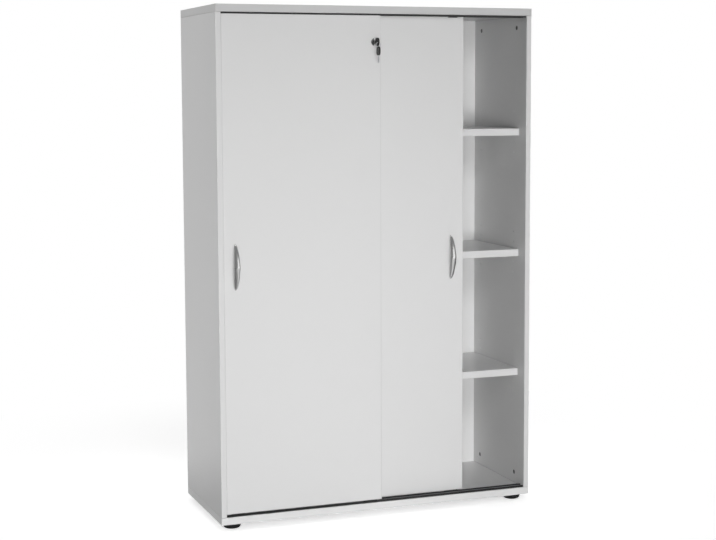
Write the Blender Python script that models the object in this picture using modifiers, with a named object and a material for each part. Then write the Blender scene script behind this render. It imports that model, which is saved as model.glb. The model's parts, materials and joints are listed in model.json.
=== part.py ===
"""A filing cupboard with two sliding doors, three shelves and round feet.

The cupboard stands on Z = 0 and its front looks along -Y.
X = 0 and Y = 0 are the middle of the whole outline, with the keys that hang in front of it.
"""

import math

import bmesh
import bpy
from mathutils import Matrix, Vector

# Whole cupboard
WIDTH = 1.000
DEPTH = 0.400
BOARD_HEIGHT = 1.516
FOOT_HEIGHT = 0.017

# Boards
PLATE_THICKNESS = 0.022
SIDE_THICKNESS = 0.016
SHELF_THICKNESS = 0.022
DOOR_THICKNESS = 0.016
BACK_THICKNESS = 0.008
BACK_SETBACK = 0.017
GROOVE_DEPTH = 0.006
EDGE_ROUNDING = 0.001
SEAT_GAP = 0.0003

# Shelves and the rows of holes that they hang in
SHELF_COUNT = 3
LOWEST_SHELF = 0.362
SHELF_PITCH = 0.3775
SHELF_SETBACK = 0.047
SHELF_END_CLEARANCE = 0.0005
SHELF_BACK_CLEARANCE = 0.002
HOLE_PITCH = 0.032
HOLES_EACH_WAY = 2
HOLE_RADIUS = 0.0025
HOLE_DEPTH = 0.010
HOLE_ROWS = (0.083, 0.323)
PIN_IN_SIDE = 0.009
PIN_IN_SHELF = 0.009

# Pockets for the cam fittings that draw the carcass together
CAM_POCKET_RADIUS = 0.0076
CAM_POCKET_DEPTH = 0.0128
CAM_FROM_END = 0.034
CAM_ROWS = (0.070, 0.326)

# Tracks
TRACK_SETBACK = 0.004
TRACK_RIB = 0.0016
TRACK_MIDDLE_RIB = 0.0032
TRACK_BASE = 0.0015
BOTTOM_TRACK_HEIGHT = 0.006
TOP_TRACK_HEIGHT = 0.005
TRACK_END_CLEARANCE = 0.0005
RUB_CLEARANCE = 0.0004
SPINE_WIDTH = 0.0028
SPINE_DEPTH = 0.008

# Doors
DOOR_END_CLEARANCE = 0.0014
DOOR_OVERLAP = 0.013
DOOR_BOTTOM_CLEARANCE = 0.008
DOOR_TOP_CLEARANCE = 0.004
RIGHT_DOOR_OPENING = 0.1986

# Runners under the doors and guides on top of them
RUNNER_INSET = 0.036
RUNNER_LENGTH = 0.042
RUNNER_WIDTH = 0.009
RUNNER_BELOW_DOOR = 0.004
RUNNER_ROOF = 0.002
WHEEL_RADIUS = 0.009
WHEEL_WIDTH = 0.0046
WHEEL_ROUNDING = 0.0008
WHEEL_CLEARANCE = 0.0004
AXLE_RADIUS = 0.0015
AXLE_LENGTH = 0.0086
GUIDE_LENGTH = 0.030
GUIDE_DEPTH = 0.012

# Bow handles
HANDLE_SPACING = 0.128
HANDLE_PROJECTION = 0.027
HANDLE_MIDDLE_WIDTH = 0.0165
HANDLE_MIDDLE_THICKNESS = 0.0055
HANDLE_END_WIDTH = 0.0058
HANDLE_END_THICKNESS = 0.007
HANDLE_SQUARENESS = 1.5
LEFT_HANDLE_INSET = 0.035
RIGHT_HANDLE_INSET = 0.0415
SCREW_RADIUS = 0.0020
SCREW_HEAD_RADIUS = 0.0040
SCREW_HEAD_THICKNESS = 0.0025
SCREW_IN_HANDLE = 0.0034

# Lock
LOCK_INSET = 0.0190
LOCK_BELOW_TOP = 0.079
BARREL_RADIUS = 0.0087
ROSETTE_RADIUS = 0.012
ROSETTE_THICKNESS = 0.0025
NUT_RADIUS = 0.0115
NUT_THICKNESS = 0.003
PLUG_RADIUS = 0.006
TANG_SIDE = 0.005
TANG_BEHIND_DOOR = 0.0026
CAM_ARM_LENGTH = 0.030
CAM_ARM_HALF_WIDTH = 0.0065
CAM_ARM_THICKNESS = 0.0018
CAM_ARM_BEHIND_DOOR = 0.0005

# Keeper on the right door, which the cam catches
KEEPER_WIDTH = 0.014
KEEPER_HEIGHT = 0.026
KEEPER_THICKNESS = 0.0015
KEEPER_EDGE = 0.002
KEEPER_PEG_RADIUS = 0.003
KEEPER_PEG_LENGTH = 0.009
LUG_WIDTH = 0.007
LUG_HEIGHT = 0.012
LUG_INSET = 0.0005
LUG_ABOVE_LOCK = 0.017
LUG_BEHIND_DOOR = 0.0008

# Keys on their ring
BLADE_THICKNESS = 0.0020
BLADE_WIDTH = 0.0070
BLADE_LENGTH = 0.023
BLADE_IN_LOCK = 0.016
BLADE_IN_HEAD = 0.006
KEYWAY_CLEARANCE = 0.0003
KEY_HEAD_LENGTH = 0.026
KEY_HEAD_WIDTH = 0.024
KEY_HEAD_THICKNESS = 0.004
KEY_HEAD_ROUNDING = 0.0008
RING_HOLE_RADIUS = 0.0025
RING_HOLE_FROM_END = 0.005
RING_RADIUS = 0.00725
RING_WIRE_RADIUS = 0.00075

# Feet
FOOT_RADIUS = 0.027
FOOT_RIM = 0.003
FOOT_FLAT_RADIUS = 0.013
FOOT_INSET_X = 0.041
FOOT_INSET_Y = 0.038
FOOT_ARC_STEPS = 5
FOOT_STEPS = 20
SPIGOT_RADIUS = 0.004
SPIGOT_LENGTH = 0.012

# Sides of round pieces
HOLE_SIDES = 12
ROD_SIDES = 16
HANDLE_SIDES = 12
HANDLE_STATIONS = 16
OVAL_SIDES = 24

# Levels and planes worked out from the sizes above
KEY_STAND_OFF = BLADE_LENGTH - BLADE_IN_LOCK
DOOR_FRONT_SETBACK = TRACK_SETBACK + TRACK_RIB + RUB_CLEARANCE
KEY_REACH = ROSETTE_THICKNESS + KEY_STAND_OFF + KEY_HEAD_LENGTH - DOOR_FRONT_SETBACK
SPARE_KEY_REACH = KEY_REACH - RING_HOLE_FROM_END + KEY_HEAD_WIDTH / 2
HANDLE_REACH = HANDLE_PROJECTION - DOOR_FRONT_SETBACK
FRONT_REACH = max(KEY_REACH, SPARE_KEY_REACH, HANDLE_REACH)
FRONT_Y = (FRONT_REACH - DEPTH) / 2
BACK_Y = FRONT_Y + DEPTH
OUTER_X = WIDTH / 2
INNER_X = OUTER_X - SIDE_THICKNESS
BASE_Z = FOOT_HEIGHT
FLOOR_Z = BASE_Z + PLATE_THICKNESS
TOP_Z = BASE_Z + BOARD_HEIGHT
CEILING_Z = TOP_Z - PLATE_THICKNESS
BACK_PANEL_REAR_Y = BACK_Y - BACK_SETBACK
BACK_PANEL_FRONT_Y = BACK_PANEL_REAR_Y - BACK_THICKNESS
TRACK_Y = FRONT_Y + TRACK_SETBACK
LANE_WIDTH = DOOR_THICKNESS + 2 * RUB_CLEARANCE
DOOR_GAP = TRACK_MIDDLE_RIB + 2 * RUB_CLEARANCE
TRACK_WIDTH = 2 * TRACK_RIB + TRACK_MIDDLE_RIB + 2 * LANE_WIDTH
LEFT_DOOR_FRONT_Y = FRONT_Y + DOOR_FRONT_SETBACK
RIGHT_DOOR_FRONT_Y = LEFT_DOOR_FRONT_Y + DOOR_THICKNESS + DOOR_GAP
DOOR_WIDTH = INNER_X - DOOR_END_CLEARANCE + DOOR_OVERLAP / 2
DOOR_BOTTOM_Z = FLOOR_Z + DOOR_BOTTOM_CLEARANCE
DOOR_TOP_Z = CEILING_Z - DOOR_TOP_CLEARANCE
LEFT_DOOR_X = -INNER_X + DOOR_END_CLEARANCE
RIGHT_DOOR_X = INNER_X - DOOR_END_CLEARANCE - DOOR_WIDTH - RIGHT_DOOR_OPENING
AXLE_Z = FLOOR_Z + TRACK_BASE + SEAT_GAP + WHEEL_RADIUS
LOCK_X = LEFT_DOOR_X + DOOR_WIDTH - LOCK_INSET
LOCK_Z = DOOR_TOP_Z - LOCK_BELOW_TOP
HANDLE_Z = (DOOR_BOTTOM_Z + DOOR_TOP_Z) / 2
SHELF_HEIGHTS = [FLOOR_Z + LOWEST_SHELF + SHELF_PITCH * n for n in range(SHELF_COUNT)]

TURN_FROM_Z = {
    "X": Matrix.Rotation(math.pi / 2, 4, "Y"),
    "Y": Matrix.Rotation(-math.pi / 2, 4, "X"),
    "Z": Matrix.Identity(4),
}


# Collections, materials and objects


def clear_scene():
    for obj in list(bpy.data.objects):
        bpy.data.objects.remove(obj, do_unlink=True)


def new_collection(name):
    collection = bpy.data.collections.new(name)
    bpy.context.scene.collection.children.link(collection)
    return collection


def new_material(name, colour, roughness, metallic=0.0):
    material = bpy.data.materials.new(name)
    material.use_nodes = True
    shader = material.node_tree.nodes["Principled BSDF"]
    shader.inputs["Base Color"].default_value = (*colour, 1.0)
    shader.inputs["Roughness"].default_value = roughness
    shader.inputs["Metallic"].default_value = metallic
    return material


def new_mesh(name, bm):
    mesh = bpy.data.meshes.new(name)
    bm.to_mesh(mesh)
    bm.free()
    return mesh


def add_part(name, bm, material, origin=(0, 0, 0), parent=None, smooth=False):
    """Makes one named piece from a bmesh in world coordinates, with its origin at origin."""
    mesh = new_mesh(name, bm)
    mesh.materials.append(material)
    mesh.transform(Matrix.Translation(-Vector(origin)))
    if smooth:
        shade_round(mesh)
    obj = bpy.data.objects.new(name, mesh)
    parts.objects.link(obj)
    hang_from(obj, origin, parent)
    return obj


def hang_from(obj, origin, parent):
    obj.location = origin
    if parent is not None:
        obj.parent = parent
        obj.location = Vector(origin) - parent.location


def shade_round(mesh):
    mesh.shade_smooth()
    mesh.set_sharp_from_angle(angle=math.radians(35))


def add_empty(name, location):
    """An empty on a joint's axis, which the pieces of one moving body hang from."""
    empty = bpy.data.objects.new(name, None)
    empty.empty_display_size = 0.05
    empty.location = location
    parts.objects.link(empty)
    return empty


def add_cutter(name, bm):
    obj = bpy.data.objects.new(name, new_mesh(name, bm))
    cutters.objects.link(obj)
    obj.hide_render = True
    obj.display_type = "WIRE"
    return obj


def combine(obj, tool, operation="DIFFERENCE"):
    modifier = obj.modifiers.new(tool.name, "BOOLEAN")
    modifier.operation = operation
    modifier.solver = "EXACT"
    modifier.object = tool


# Shapes, each added to a bmesh in world coordinates


def add_box(bm, low, high):
    size = [b - a for a, b in zip(low, high)]
    centre = [(a + b) / 2 for a, b in zip(low, high)]
    matrix = Matrix.Translation(centre) @ Matrix.Diagonal((*size, 1.0))
    bmesh.ops.create_cube(bm, size=1.0, matrix=matrix)


def box(low, high):
    bm = bmesh.new()
    add_box(bm, low, high)
    return bm


def board(low, high, along, rear=False):
    """A board with its edges along one axis (0 is X, 2 is Z) rounded at the front.

    With rear set, its edges at the back are rounded too.
    """
    bm = box(low, high)
    edges = []
    for edge in bm.edges:
        a, b = (vert.co for vert in edge.verts)
        runs_along = abs(a[along] - b[along]) > EDGE_ROUNDING
        at_front = max(a.y, b.y) < (low[1] + high[1]) / 2
        if runs_along and (at_front or rear):
            edges.append(edge)
    bmesh.ops.bevel(
        bm, geom=edges, offset=EDGE_ROUNDING, segments=2, profile=0.5, affect="EDGES"
    )
    return bm


def add_rod(bm, start, axis, radius, length, sides=ROD_SIDES):
    """A rod that runs from start along the positive axis."""
    middle = Vector(start) + TURN_FROM_Z[axis].to_3x3() @ Vector((0, 0, length / 2))
    bmesh.ops.create_cone(
        bm,
        cap_ends=True,
        segments=sides,
        radius1=radius,
        radius2=radius,
        depth=length,
        matrix=Matrix.Translation(middle) @ TURN_FROM_Z[axis],
    )


def rod(start, axis, radius, length, sides=ROD_SIDES):
    bm = bmesh.new()
    add_rod(bm, start, axis, radius, length, sides)
    return bm


def add_rod_into(bm, start, axis, radius, depth, direction, sides=HOLE_SIDES):
    """A cutter that goes from just outside a face at start, depth deep in one direction."""
    index = "XYZ".index(axis)
    low = list(start)
    low[index] = min(start[index] - direction * SEAT_GAP, start[index] + direction * depth)
    add_rod(bm, low, axis, radius + SEAT_GAP, depth + SEAT_GAP, sides)


def extrusion(name, outline, length, axis, middle):
    """A flat outline extruded evenly to both sides of middle, along X or along Y.

    The outline's points are (y, z) for an extrusion along X and (x, z) for one along Y.
    """
    curve = bpy.data.curves.new(name, "CURVE")
    curve.dimensions = "2D"
    curve.fill_mode = "BOTH"
    curve.extrude = length / 2
    spline = curve.splines.new("POLY")
    spline.points.add(len(outline) - 1)
    for point, (across, z) in zip(spline.points, outline):
        point.co = (across, z, 0.0, 1.0)
    spline.use_cyclic_u = True
    flat = bpy.data.objects.new(name, curve)
    cutters.objects.link(flat)
    depsgraph = bpy.context.evaluated_depsgraph_get()
    mesh = bpy.data.meshes.new_from_object(flat.evaluated_get(depsgraph))
    bpy.data.objects.remove(flat, do_unlink=True)
    bm = bmesh.new()
    bm.from_mesh(mesh)
    bpy.data.meshes.remove(mesh)
    bmesh.ops.remove_doubles(bm, verts=bm.verts, dist=0.00001)
    if axis == "X":
        stand_up = Matrix(((0, 0, 1), (1, 0, 0), (0, 1, 0))).to_4x4()
        move = Matrix.Translation((middle, 0, 0))
    else:
        stand_up = Matrix(((1, 0, 0), (0, 0, -1), (0, 1, 0))).to_4x4()
        move = Matrix.Translation((0, middle, 0))
    bm.transform(move @ stand_up)
    bmesh.ops.recalc_face_normals(bm, faces=bm.faces)
    return bm


def turned(name, profile, origin, axis, material, steps, parent=None, closed=True):
    """A (radius, height) profile turned about an axis through origin.

    The profile runs down its outer side, from top to bottom. A closed one leaves a bore.
    """
    mesh = bpy.data.meshes.new(name)
    verts = [(radius, 0.0, height) for radius, height in profile]
    edges = [(n, n + 1) for n in range(len(verts) - 1)]
    if closed:
        edges.append((len(verts) - 1, 0))
    mesh.from_pydata(verts, edges, [])
    mesh.materials.append(material)
    obj = bpy.data.objects.new(name, mesh)
    parts.objects.link(obj)
    obj.rotation_euler = TURN_FROM_Z[axis].to_euler()
    hang_from(obj, origin, parent)
    screw = obj.modifiers.new("turn", "SCREW")
    screw.axis = "Z"
    screw.steps = steps
    screw.render_steps = steps
    screw.use_merge_vertices = True
    screw.merge_threshold = 0.00001
    screw.use_smooth_shade = True
    return obj


def add_lathe(bm, profile, origin, axis, sides=HOLE_SIDES):
    """A solid turned body from (radius, distance) points along the positive axis."""
    rings = []
    turn = Matrix.Translation(origin) @ TURN_FROM_Z[axis]
    for radius, distance in profile:
        shift = turn @ Matrix.Translation((0, 0, distance))
        if radius == 0:
            rings.append([bm.verts.new(shift.to_translation())])
        else:
            made = bmesh.ops.create_circle(bm, segments=sides, radius=radius, matrix=shift)
            rings.append(made["verts"])
    join_rings(bm, rings)


def join_rings(bm, rings):
    """Joins rings of equal length in order, with a fan where a ring is one point."""
    for first, second in zip(rings, rings[1:]):
        for n in range(max(len(first), len(second))):
            corners = [first[n % len(first)], first[(n + 1) % len(first)]]
            corners += [second[(n + 1) % len(second)], second[n % len(second)]]
            bm.faces.new(list(dict.fromkeys(corners)))
    bmesh.ops.recalc_face_normals(bm, faces=bm.faces)


def headed_profile(radius, length, head_radius, head_thickness):
    """A screw from its tip to the far face of its head, as (radius, distance) points."""
    end = length + head_thickness
    return [
        (0, 0),
        (radius, 0),
        (radius, length),
        (head_radius, length),
        (head_radius, end),
        (0, end),
    ]


# Carcass


def side_cutter(name, side):
    """The holes, pockets and groove in a side panel's inner face; side is -1 on the left."""
    bm = bmesh.new()
    face_x = side * INNER_X
    for shelf_z in SHELF_HEIGHTS:
        for step in range(-HOLES_EACH_WAY, HOLES_EACH_WAY + 1):
            for row in HOLE_ROWS:
                start = (face_x, FRONT_Y + row, shelf_z + step * HOLE_PITCH)
                add_rod_into(bm, start, "X", HOLE_RADIUS - SEAT_GAP, HOLE_DEPTH, side)
    for cam_z in (FLOOR_Z + CAM_FROM_END, CEILING_Z - CAM_FROM_END):
        for row in CAM_ROWS:
            start = (face_x, FRONT_Y + row, cam_z)
            radius = CAM_POCKET_RADIUS - SEAT_GAP
            add_rod_into(bm, start, "X", radius, CAM_POCKET_DEPTH, side, ROD_SIDES)
    xs = sorted((face_x - side * SEAT_GAP, face_x + side * (GROOVE_DEPTH + SEAT_GAP)))
    add_box(
        bm,
        (xs[0], BACK_PANEL_FRONT_Y - SEAT_GAP, FLOOR_Z - SEAT_GAP),
        (xs[1], BACK_PANEL_REAR_Y + SEAT_GAP, CEILING_Z + SEAT_GAP),
    )
    return add_cutter(name, bm)


def build_sides():
    for side, name in ((-1, "left_side_panel"), (1, "right_side_panel")):
        xs = sorted((side * OUTER_X, side * INNER_X))
        low = (xs[0], FRONT_Y, FLOOR_Z + SEAT_GAP)
        high = (xs[1], BACK_Y, CEILING_Z - SEAT_GAP)
        origin = (side * OUTER_X, FRONT_Y, FLOOR_Z)
        panel = add_part(name, board(low, high, 2), board_grey, origin)
        combine(panel, side_cutter(name + "_cutter", side))


def plate_cutter(name, face_z, into):
    """The grooves for the back and the track, and the holes for the feet in the bottom.

    face_z is the plate's inner face and into is +1 where the plate lies above it.
    """
    bm = bmesh.new()
    zs = sorted((face_z - into * SEAT_GAP, face_z + into * (GROOVE_DEPTH + SEAT_GAP)))
    half_x = INNER_X + GROOVE_DEPTH + SEAT_GAP
    add_box(
        bm,
        (-half_x, BACK_PANEL_FRONT_Y - SEAT_GAP, zs[0]),
        (half_x, BACK_PANEL_REAR_Y + SEAT_GAP, zs[1]),
    )
    spine_y = TRACK_Y + TRACK_WIDTH / 2
    half_y = SPINE_WIDTH / 2 + SEAT_GAP
    zs = sorted((face_z - into * SEAT_GAP, face_z + into * SPINE_DEPTH))
    add_box(bm, (-INNER_X, spine_y - half_y, zs[0]), (INNER_X, spine_y + half_y, zs[1]))
    if into < 0:
        for x, y in foot_places():
            add_rod_into(bm, (x, y, BASE_Z), "Z", SPIGOT_RADIUS, SPIGOT_LENGTH, 1)
    return add_cutter(name, bm)


def build_plates():
    plates = (
        ("top_panel", CEILING_Z, TOP_Z, CEILING_Z, 1),
        ("bottom_panel", BASE_Z, FLOOR_Z, FLOOR_Z, -1),
    )
    for name, low_z, high_z, inner_z, into in plates:
        shape = board((-OUTER_X, FRONT_Y, low_z), (OUTER_X, BACK_Y, high_z), 0)
        plate = add_part(name, shape, board_grey, (0, FRONT_Y, low_z))
        combine(plate, plate_cutter(name + "_cutter", inner_z, into))


def build_back():
    low = (-INNER_X - GROOVE_DEPTH, BACK_PANEL_FRONT_Y, FLOOR_Z - GROOVE_DEPTH)
    high = (INNER_X + GROOVE_DEPTH, BACK_PANEL_REAR_Y, CEILING_Z + GROOVE_DEPTH)
    add_part("back_panel", box(low, high), board_grey, (0, BACK_PANEL_FRONT_Y, FLOOR_Z))


def build_shelves():
    """Shelves with slots in their ends that drop over the pins in the sides."""
    end_x = INNER_X - SHELF_END_CLEARANCE
    front = FRONT_Y + SHELF_SETBACK
    names = ("lower_shelf", "middle_shelf", "upper_shelf")
    pin_radius = HOLE_RADIUS - SEAT_GAP
    slot_depth = PIN_IN_SHELF + SEAT_GAP
    pin_length = PIN_IN_SIDE + SHELF_END_CLEARANCE + PIN_IN_SHELF
    for name, middle_z in zip(names, SHELF_HEIGHTS):
        under = middle_z - SHELF_THICKNESS / 2
        low = (-end_x, front, under)
        high = (end_x, BACK_PANEL_FRONT_Y - SHELF_BACK_CLEARANCE, under + SHELF_THICKNESS)
        shelf = add_part(name, board(low, high, 0), board_grey, (0, front, under))
        slots = bmesh.new()
        for side, side_name in ((-1, "left"), (1, "right")):
            for row, row_name in zip(HOLE_ROWS, ("front", "rear")):
                y = FRONT_Y + row
                xs = sorted((side * (end_x + SEAT_GAP), side * (end_x - slot_depth)))
                add_box(
                    slots,
                    (xs[0], y - HOLE_RADIUS, under - SEAT_GAP),
                    (xs[1], y + HOLE_RADIUS, middle_z + HOLE_RADIUS),
                )
                start_x = min(side * (INNER_X + PIN_IN_SIDE), side * (end_x - PIN_IN_SHELF))
                start = (start_x, y, middle_z)
                pin = rod(start, "X", pin_radius, pin_length, HOLE_SIDES)
                pin_name = f"{name}_{row_name}_{side_name}_pin"
                add_part(pin_name, pin, bright_steel, start, smooth=True)
        combine(shelf, add_cutter(name + "_slots", slots))


# Tracks


def track_outline(face_z, up, height):
    """A track's (y, z) outline on a plate's face; up points away from the plate."""
    rear = TRACK_Y + TRACK_WIDTH
    middle = TRACK_Y + TRACK_WIDTH / 2
    half_rib = TRACK_MIDDLE_RIB / 2
    half_spine = SPINE_WIDTH / 2
    points = [
        (TRACK_Y, 0),
        (middle - half_spine, 0),
        (middle - half_spine, -SPINE_DEPTH),
        (middle + half_spine, -SPINE_DEPTH),
        (middle + half_spine, 0),
        (rear, 0),
        (rear, height),
        (rear - TRACK_RIB, height),
        (rear - TRACK_RIB, TRACK_BASE),
        (middle + half_rib, TRACK_BASE),
        (middle + half_rib, height),
        (middle - half_rib, height),
        (middle - half_rib, TRACK_BASE),
        (TRACK_Y + TRACK_RIB, TRACK_BASE),
        (TRACK_Y + TRACK_RIB, height),
        (TRACK_Y, height),
    ]
    return [(y, face_z + up * (z + SEAT_GAP)) for y, z in points]


def build_tracks():
    length = 2 * (INNER_X - TRACK_END_CLEARANCE)
    tracks = (
        ("bottom_track", FLOOR_Z, 1, BOTTOM_TRACK_HEIGHT),
        ("top_track", CEILING_Z, -1, TOP_TRACK_HEIGHT),
    )
    for name, face_z, up, height in tracks:
        bm = extrusion(name, track_outline(face_z, up, height), length, "X", 0)
        add_part(name, bm, black_plastic, (0, TRACK_Y, face_z))


# Doors


def runner_places(door_x):
    return (door_x + RUNNER_INSET, door_x + DOOR_WIDTH - RUNNER_INSET)


def runner_top():
    return AXLE_Z + WHEEL_RADIUS + WHEEL_CLEARANCE + RUNNER_ROOF


def handle_screw_heights():
    return (HANDLE_Z - HANDLE_SPACING / 2, HANDLE_Z + HANDLE_SPACING / 2)


def door_cutter(name, door_x, front_y, handle_x):
    """Mortises for the runners and guides, and stepped holes for the handle's screws."""
    bm = bmesh.new()
    lane_y = front_y + DOOR_THICKNESS / 2
    half_y = RUNNER_WIDTH / 2 + SEAT_GAP
    for x in runner_places(door_x):
        half_x = RUNNER_LENGTH / 2 + SEAT_GAP
        low = (x - half_x, lane_y - half_y, DOOR_BOTTOM_Z - SEAT_GAP)
        add_box(bm, low, (x + half_x, lane_y + half_y, runner_top() + SEAT_GAP))
        half_x = GUIDE_LENGTH / 2 + SEAT_GAP
        low = (x - half_x, lane_y - half_y, DOOR_TOP_Z - GUIDE_DEPTH - SEAT_GAP)
        add_box(bm, low, (x + half_x, lane_y + half_y, DOOR_TOP_Z + SEAT_GAP))
    for z in handle_screw_heights():
        shank = DOOR_THICKNESS - SCREW_HEAD_THICKNESS
        head = SCREW_HEAD_THICKNESS + 2 * SEAT_GAP
        radii = (SCREW_RADIUS + SEAT_GAP, SCREW_HEAD_RADIUS + SEAT_GAP)
        profile = headed_profile(radii[0], shank, radii[1], head)
        add_lathe(bm, profile, (handle_x, front_y - SEAT_GAP, z), "Y")
    return add_cutter(name, bm)


def build_door(name, door_x, front_y, handle_x, slide):
    """One door with its runners, wheels, guides and handle, all hung from its slide."""
    low = (door_x, front_y, DOOR_BOTTOM_Z)
    high = (door_x + DOOR_WIDTH, front_y + DOOR_THICKNESS, DOOR_TOP_Z)
    shape = board(low, high, 2, rear=True)
    panel = add_part(name + "_panel", shape, board_grey, low, slide)
    combine(panel, door_cutter(name + "_cutter", door_x, front_y, handle_x))
    lane_y = front_y + DOOR_THICKNESS / 2
    for x, end in zip(runner_places(door_x), ("left", "right")):
        build_runner(f"{name}_{end}", x, lane_y, slide)
        build_guide(f"{name}_{end}_guide", x, lane_y, slide)
    build_handle(name.replace("door", "handle"), handle_x, front_y, slide)
    return panel


def build_runner(name, x, lane_y, slide):
    """A housing let into the door's lower edge, its axle, and the wheel that turns on it."""
    low_z = DOOR_BOTTOM_Z - RUNNER_BELOW_DOOR
    origin = (x, lane_y, AXLE_Z)
    low = (x - RUNNER_LENGTH / 2, lane_y - RUNNER_WIDTH / 2, low_z)
    high = (x + RUNNER_LENGTH / 2, lane_y + RUNNER_WIDTH / 2, runner_top())
    housing = add_part(name + "_runner", box(low, high), black_plastic, origin, slide)
    half_x = WHEEL_RADIUS + WHEEL_CLEARANCE
    half_y = WHEEL_WIDTH / 2 + WHEEL_CLEARANCE
    low = (x - half_x, lane_y - half_y, low_z - SEAT_GAP)
    high = (x + half_x, lane_y + half_y, runner_top() - RUNNER_ROOF)
    combine(housing, add_cutter(name + "_wheel_slot", box(low, high)))
    start = (x, lane_y - RUNNER_WIDTH / 2 - SEAT_GAP, AXLE_Z)
    length = RUNNER_WIDTH + 2 * SEAT_GAP
    bore = rod(start, "Y", AXLE_RADIUS + SEAT_GAP, length, HOLE_SIDES)
    combine(housing, add_cutter(name + "_axle_bore", bore))
    start = (x, lane_y - AXLE_LENGTH / 2, AXLE_Z)
    axle = rod(start, "Y", AXLE_RADIUS, AXLE_LENGTH, HOLE_SIDES)
    add_part(name + "_axle", axle, bright_steel, origin, slide, smooth=True)
    pivot = add_empty(name + "_wheel_axis", origin)
    turned(name + "_wheel", wheel_profile(), origin, "Y", nylon, OVAL_SIDES, pivot)


def wheel_profile():
    half = WHEEL_WIDTH / 2
    bore = AXLE_RADIUS + SEAT_GAP
    return [
        (bore, half),
        (WHEEL_RADIUS - WHEEL_ROUNDING, half),
        (WHEEL_RADIUS, half - WHEEL_ROUNDING),
        (WHEEL_RADIUS, -half + WHEEL_ROUNDING),
        (WHEEL_RADIUS - WHEEL_ROUNDING, -half),
        (bore, -half),
    ]


def build_guide(name, x, lane_y, slide):
    """A T-shaped guide in the door's top edge, which runs between the track's ribs."""
    cap_z = DOOR_TOP_Z + SEAT_GAP
    roof = CEILING_Z - SEAT_GAP - TRACK_BASE - RUB_CLEARANCE
    half_cap = LANE_WIDTH / 2 - RUB_CLEARANCE
    half_stem = RUNNER_WIDTH / 2
    outline = [
        (lane_y - half_stem, DOOR_TOP_Z - GUIDE_DEPTH),
        (lane_y + half_stem, DOOR_TOP_Z - GUIDE_DEPTH),
        (lane_y + half_stem, cap_z),
        (lane_y + half_cap, cap_z),
        (lane_y + half_cap, roof),
        (lane_y - half_cap, roof),
        (lane_y - half_cap, cap_z),
        (lane_y - half_stem, cap_z),
    ]
    bm = extrusion(name, outline, GUIDE_LENGTH, "X", x)
    add_part(name, bm, black_plastic, (x, lane_y, DOOR_TOP_Z), slide)


def handle_path(front_y):
    """(y, z) points of a bow that rises from the door and turns over in the middle."""
    reach = HANDLE_PROJECTION - HANDLE_MIDDLE_THICKNESS / 2
    power = 2 / HANDLE_SQUARENESS
    points = []
    for n in range(HANDLE_STATIONS + 1):
        angle = math.pi * n / HANDLE_STATIONS
        rise = abs(math.sin(angle)) ** power
        along = math.copysign(abs(math.cos(angle)) ** power, math.cos(angle))
        y = front_y - SEAT_GAP - reach * rise
        points.append((y, HANDLE_Z - HANDLE_SPACING / 2 * along))
    return points


def handle_rings(bm, x, front_y):
    """Oval rings square to the bow, wide and thin in its middle."""
    path = handle_path(front_y)
    rings = []
    for n, (y, z) in enumerate(path):
        before = path[max(n - 1, 0)]
        after = path[min(n + 1, HANDLE_STATIONS)]
        turn = math.atan2(before[0] - after[0], after[1] - before[1])
        if n in (0, HANDLE_STATIONS):
            turn = math.copysign(math.pi / 2, turn)
        rise = abs(math.sin(math.pi * n / HANDLE_STATIONS))
        width = HANDLE_END_WIDTH + (HANDLE_MIDDLE_WIDTH - HANDLE_END_WIDTH) * rise
        thinning = HANDLE_END_THICKNESS - HANDLE_MIDDLE_THICKNESS
        thickness = HANDLE_END_THICKNESS - thinning * rise
        matrix = (
            Matrix.Translation((x, y, z))
            @ Matrix.Rotation(turn, 4, "X")
            @ Matrix.Diagonal((width / 2, thickness / 2, 1, 1))
        )
        circle = bmesh.ops.create_circle(bm, segments=HANDLE_SIDES, radius=1, matrix=matrix)
        rings.append(circle["verts"])
    return rings


def build_handle(name, x, front_y, slide):
    """A bow handle and the two screws that hold it from behind the door."""
    bm = bmesh.new()
    rings = handle_rings(bm, x, front_y)
    bm.faces.new(rings[0])
    bm.faces.new(rings[-1])
    join_rings(bm, rings)
    origin = (x, front_y, HANDLE_Z)
    handle = add_part(name, bm, satin_nickel, origin, slide, smooth=True)
    bores = bmesh.new()
    rear_y = front_y + DOOR_THICKNESS
    tip_y = front_y - SCREW_IN_HANDLE
    head = SCREW_HEAD_THICKNESS - SEAT_GAP
    shank = rear_y - head - tip_y
    for z, end in zip(handle_screw_heights(), ("lower", "upper")):
        start = (x, front_y, z)
        add_rod_into(bores, start, "Y", SCREW_RADIUS, SCREW_IN_HANDLE + SEAT_GAP, -1)
        screw = bmesh.new()
        profile = headed_profile(SCREW_RADIUS, shank, SCREW_HEAD_RADIUS, head)
        add_lathe(screw, profile, (x, tip_y, z), "Y")
        start = (x, rear_y, z)
        add_part(f"{name}_{end}_screw", screw, bright_steel, start, slide, smooth=True)
    combine(handle, add_cutter(name + "_bores", bores))


# Lock


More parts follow.
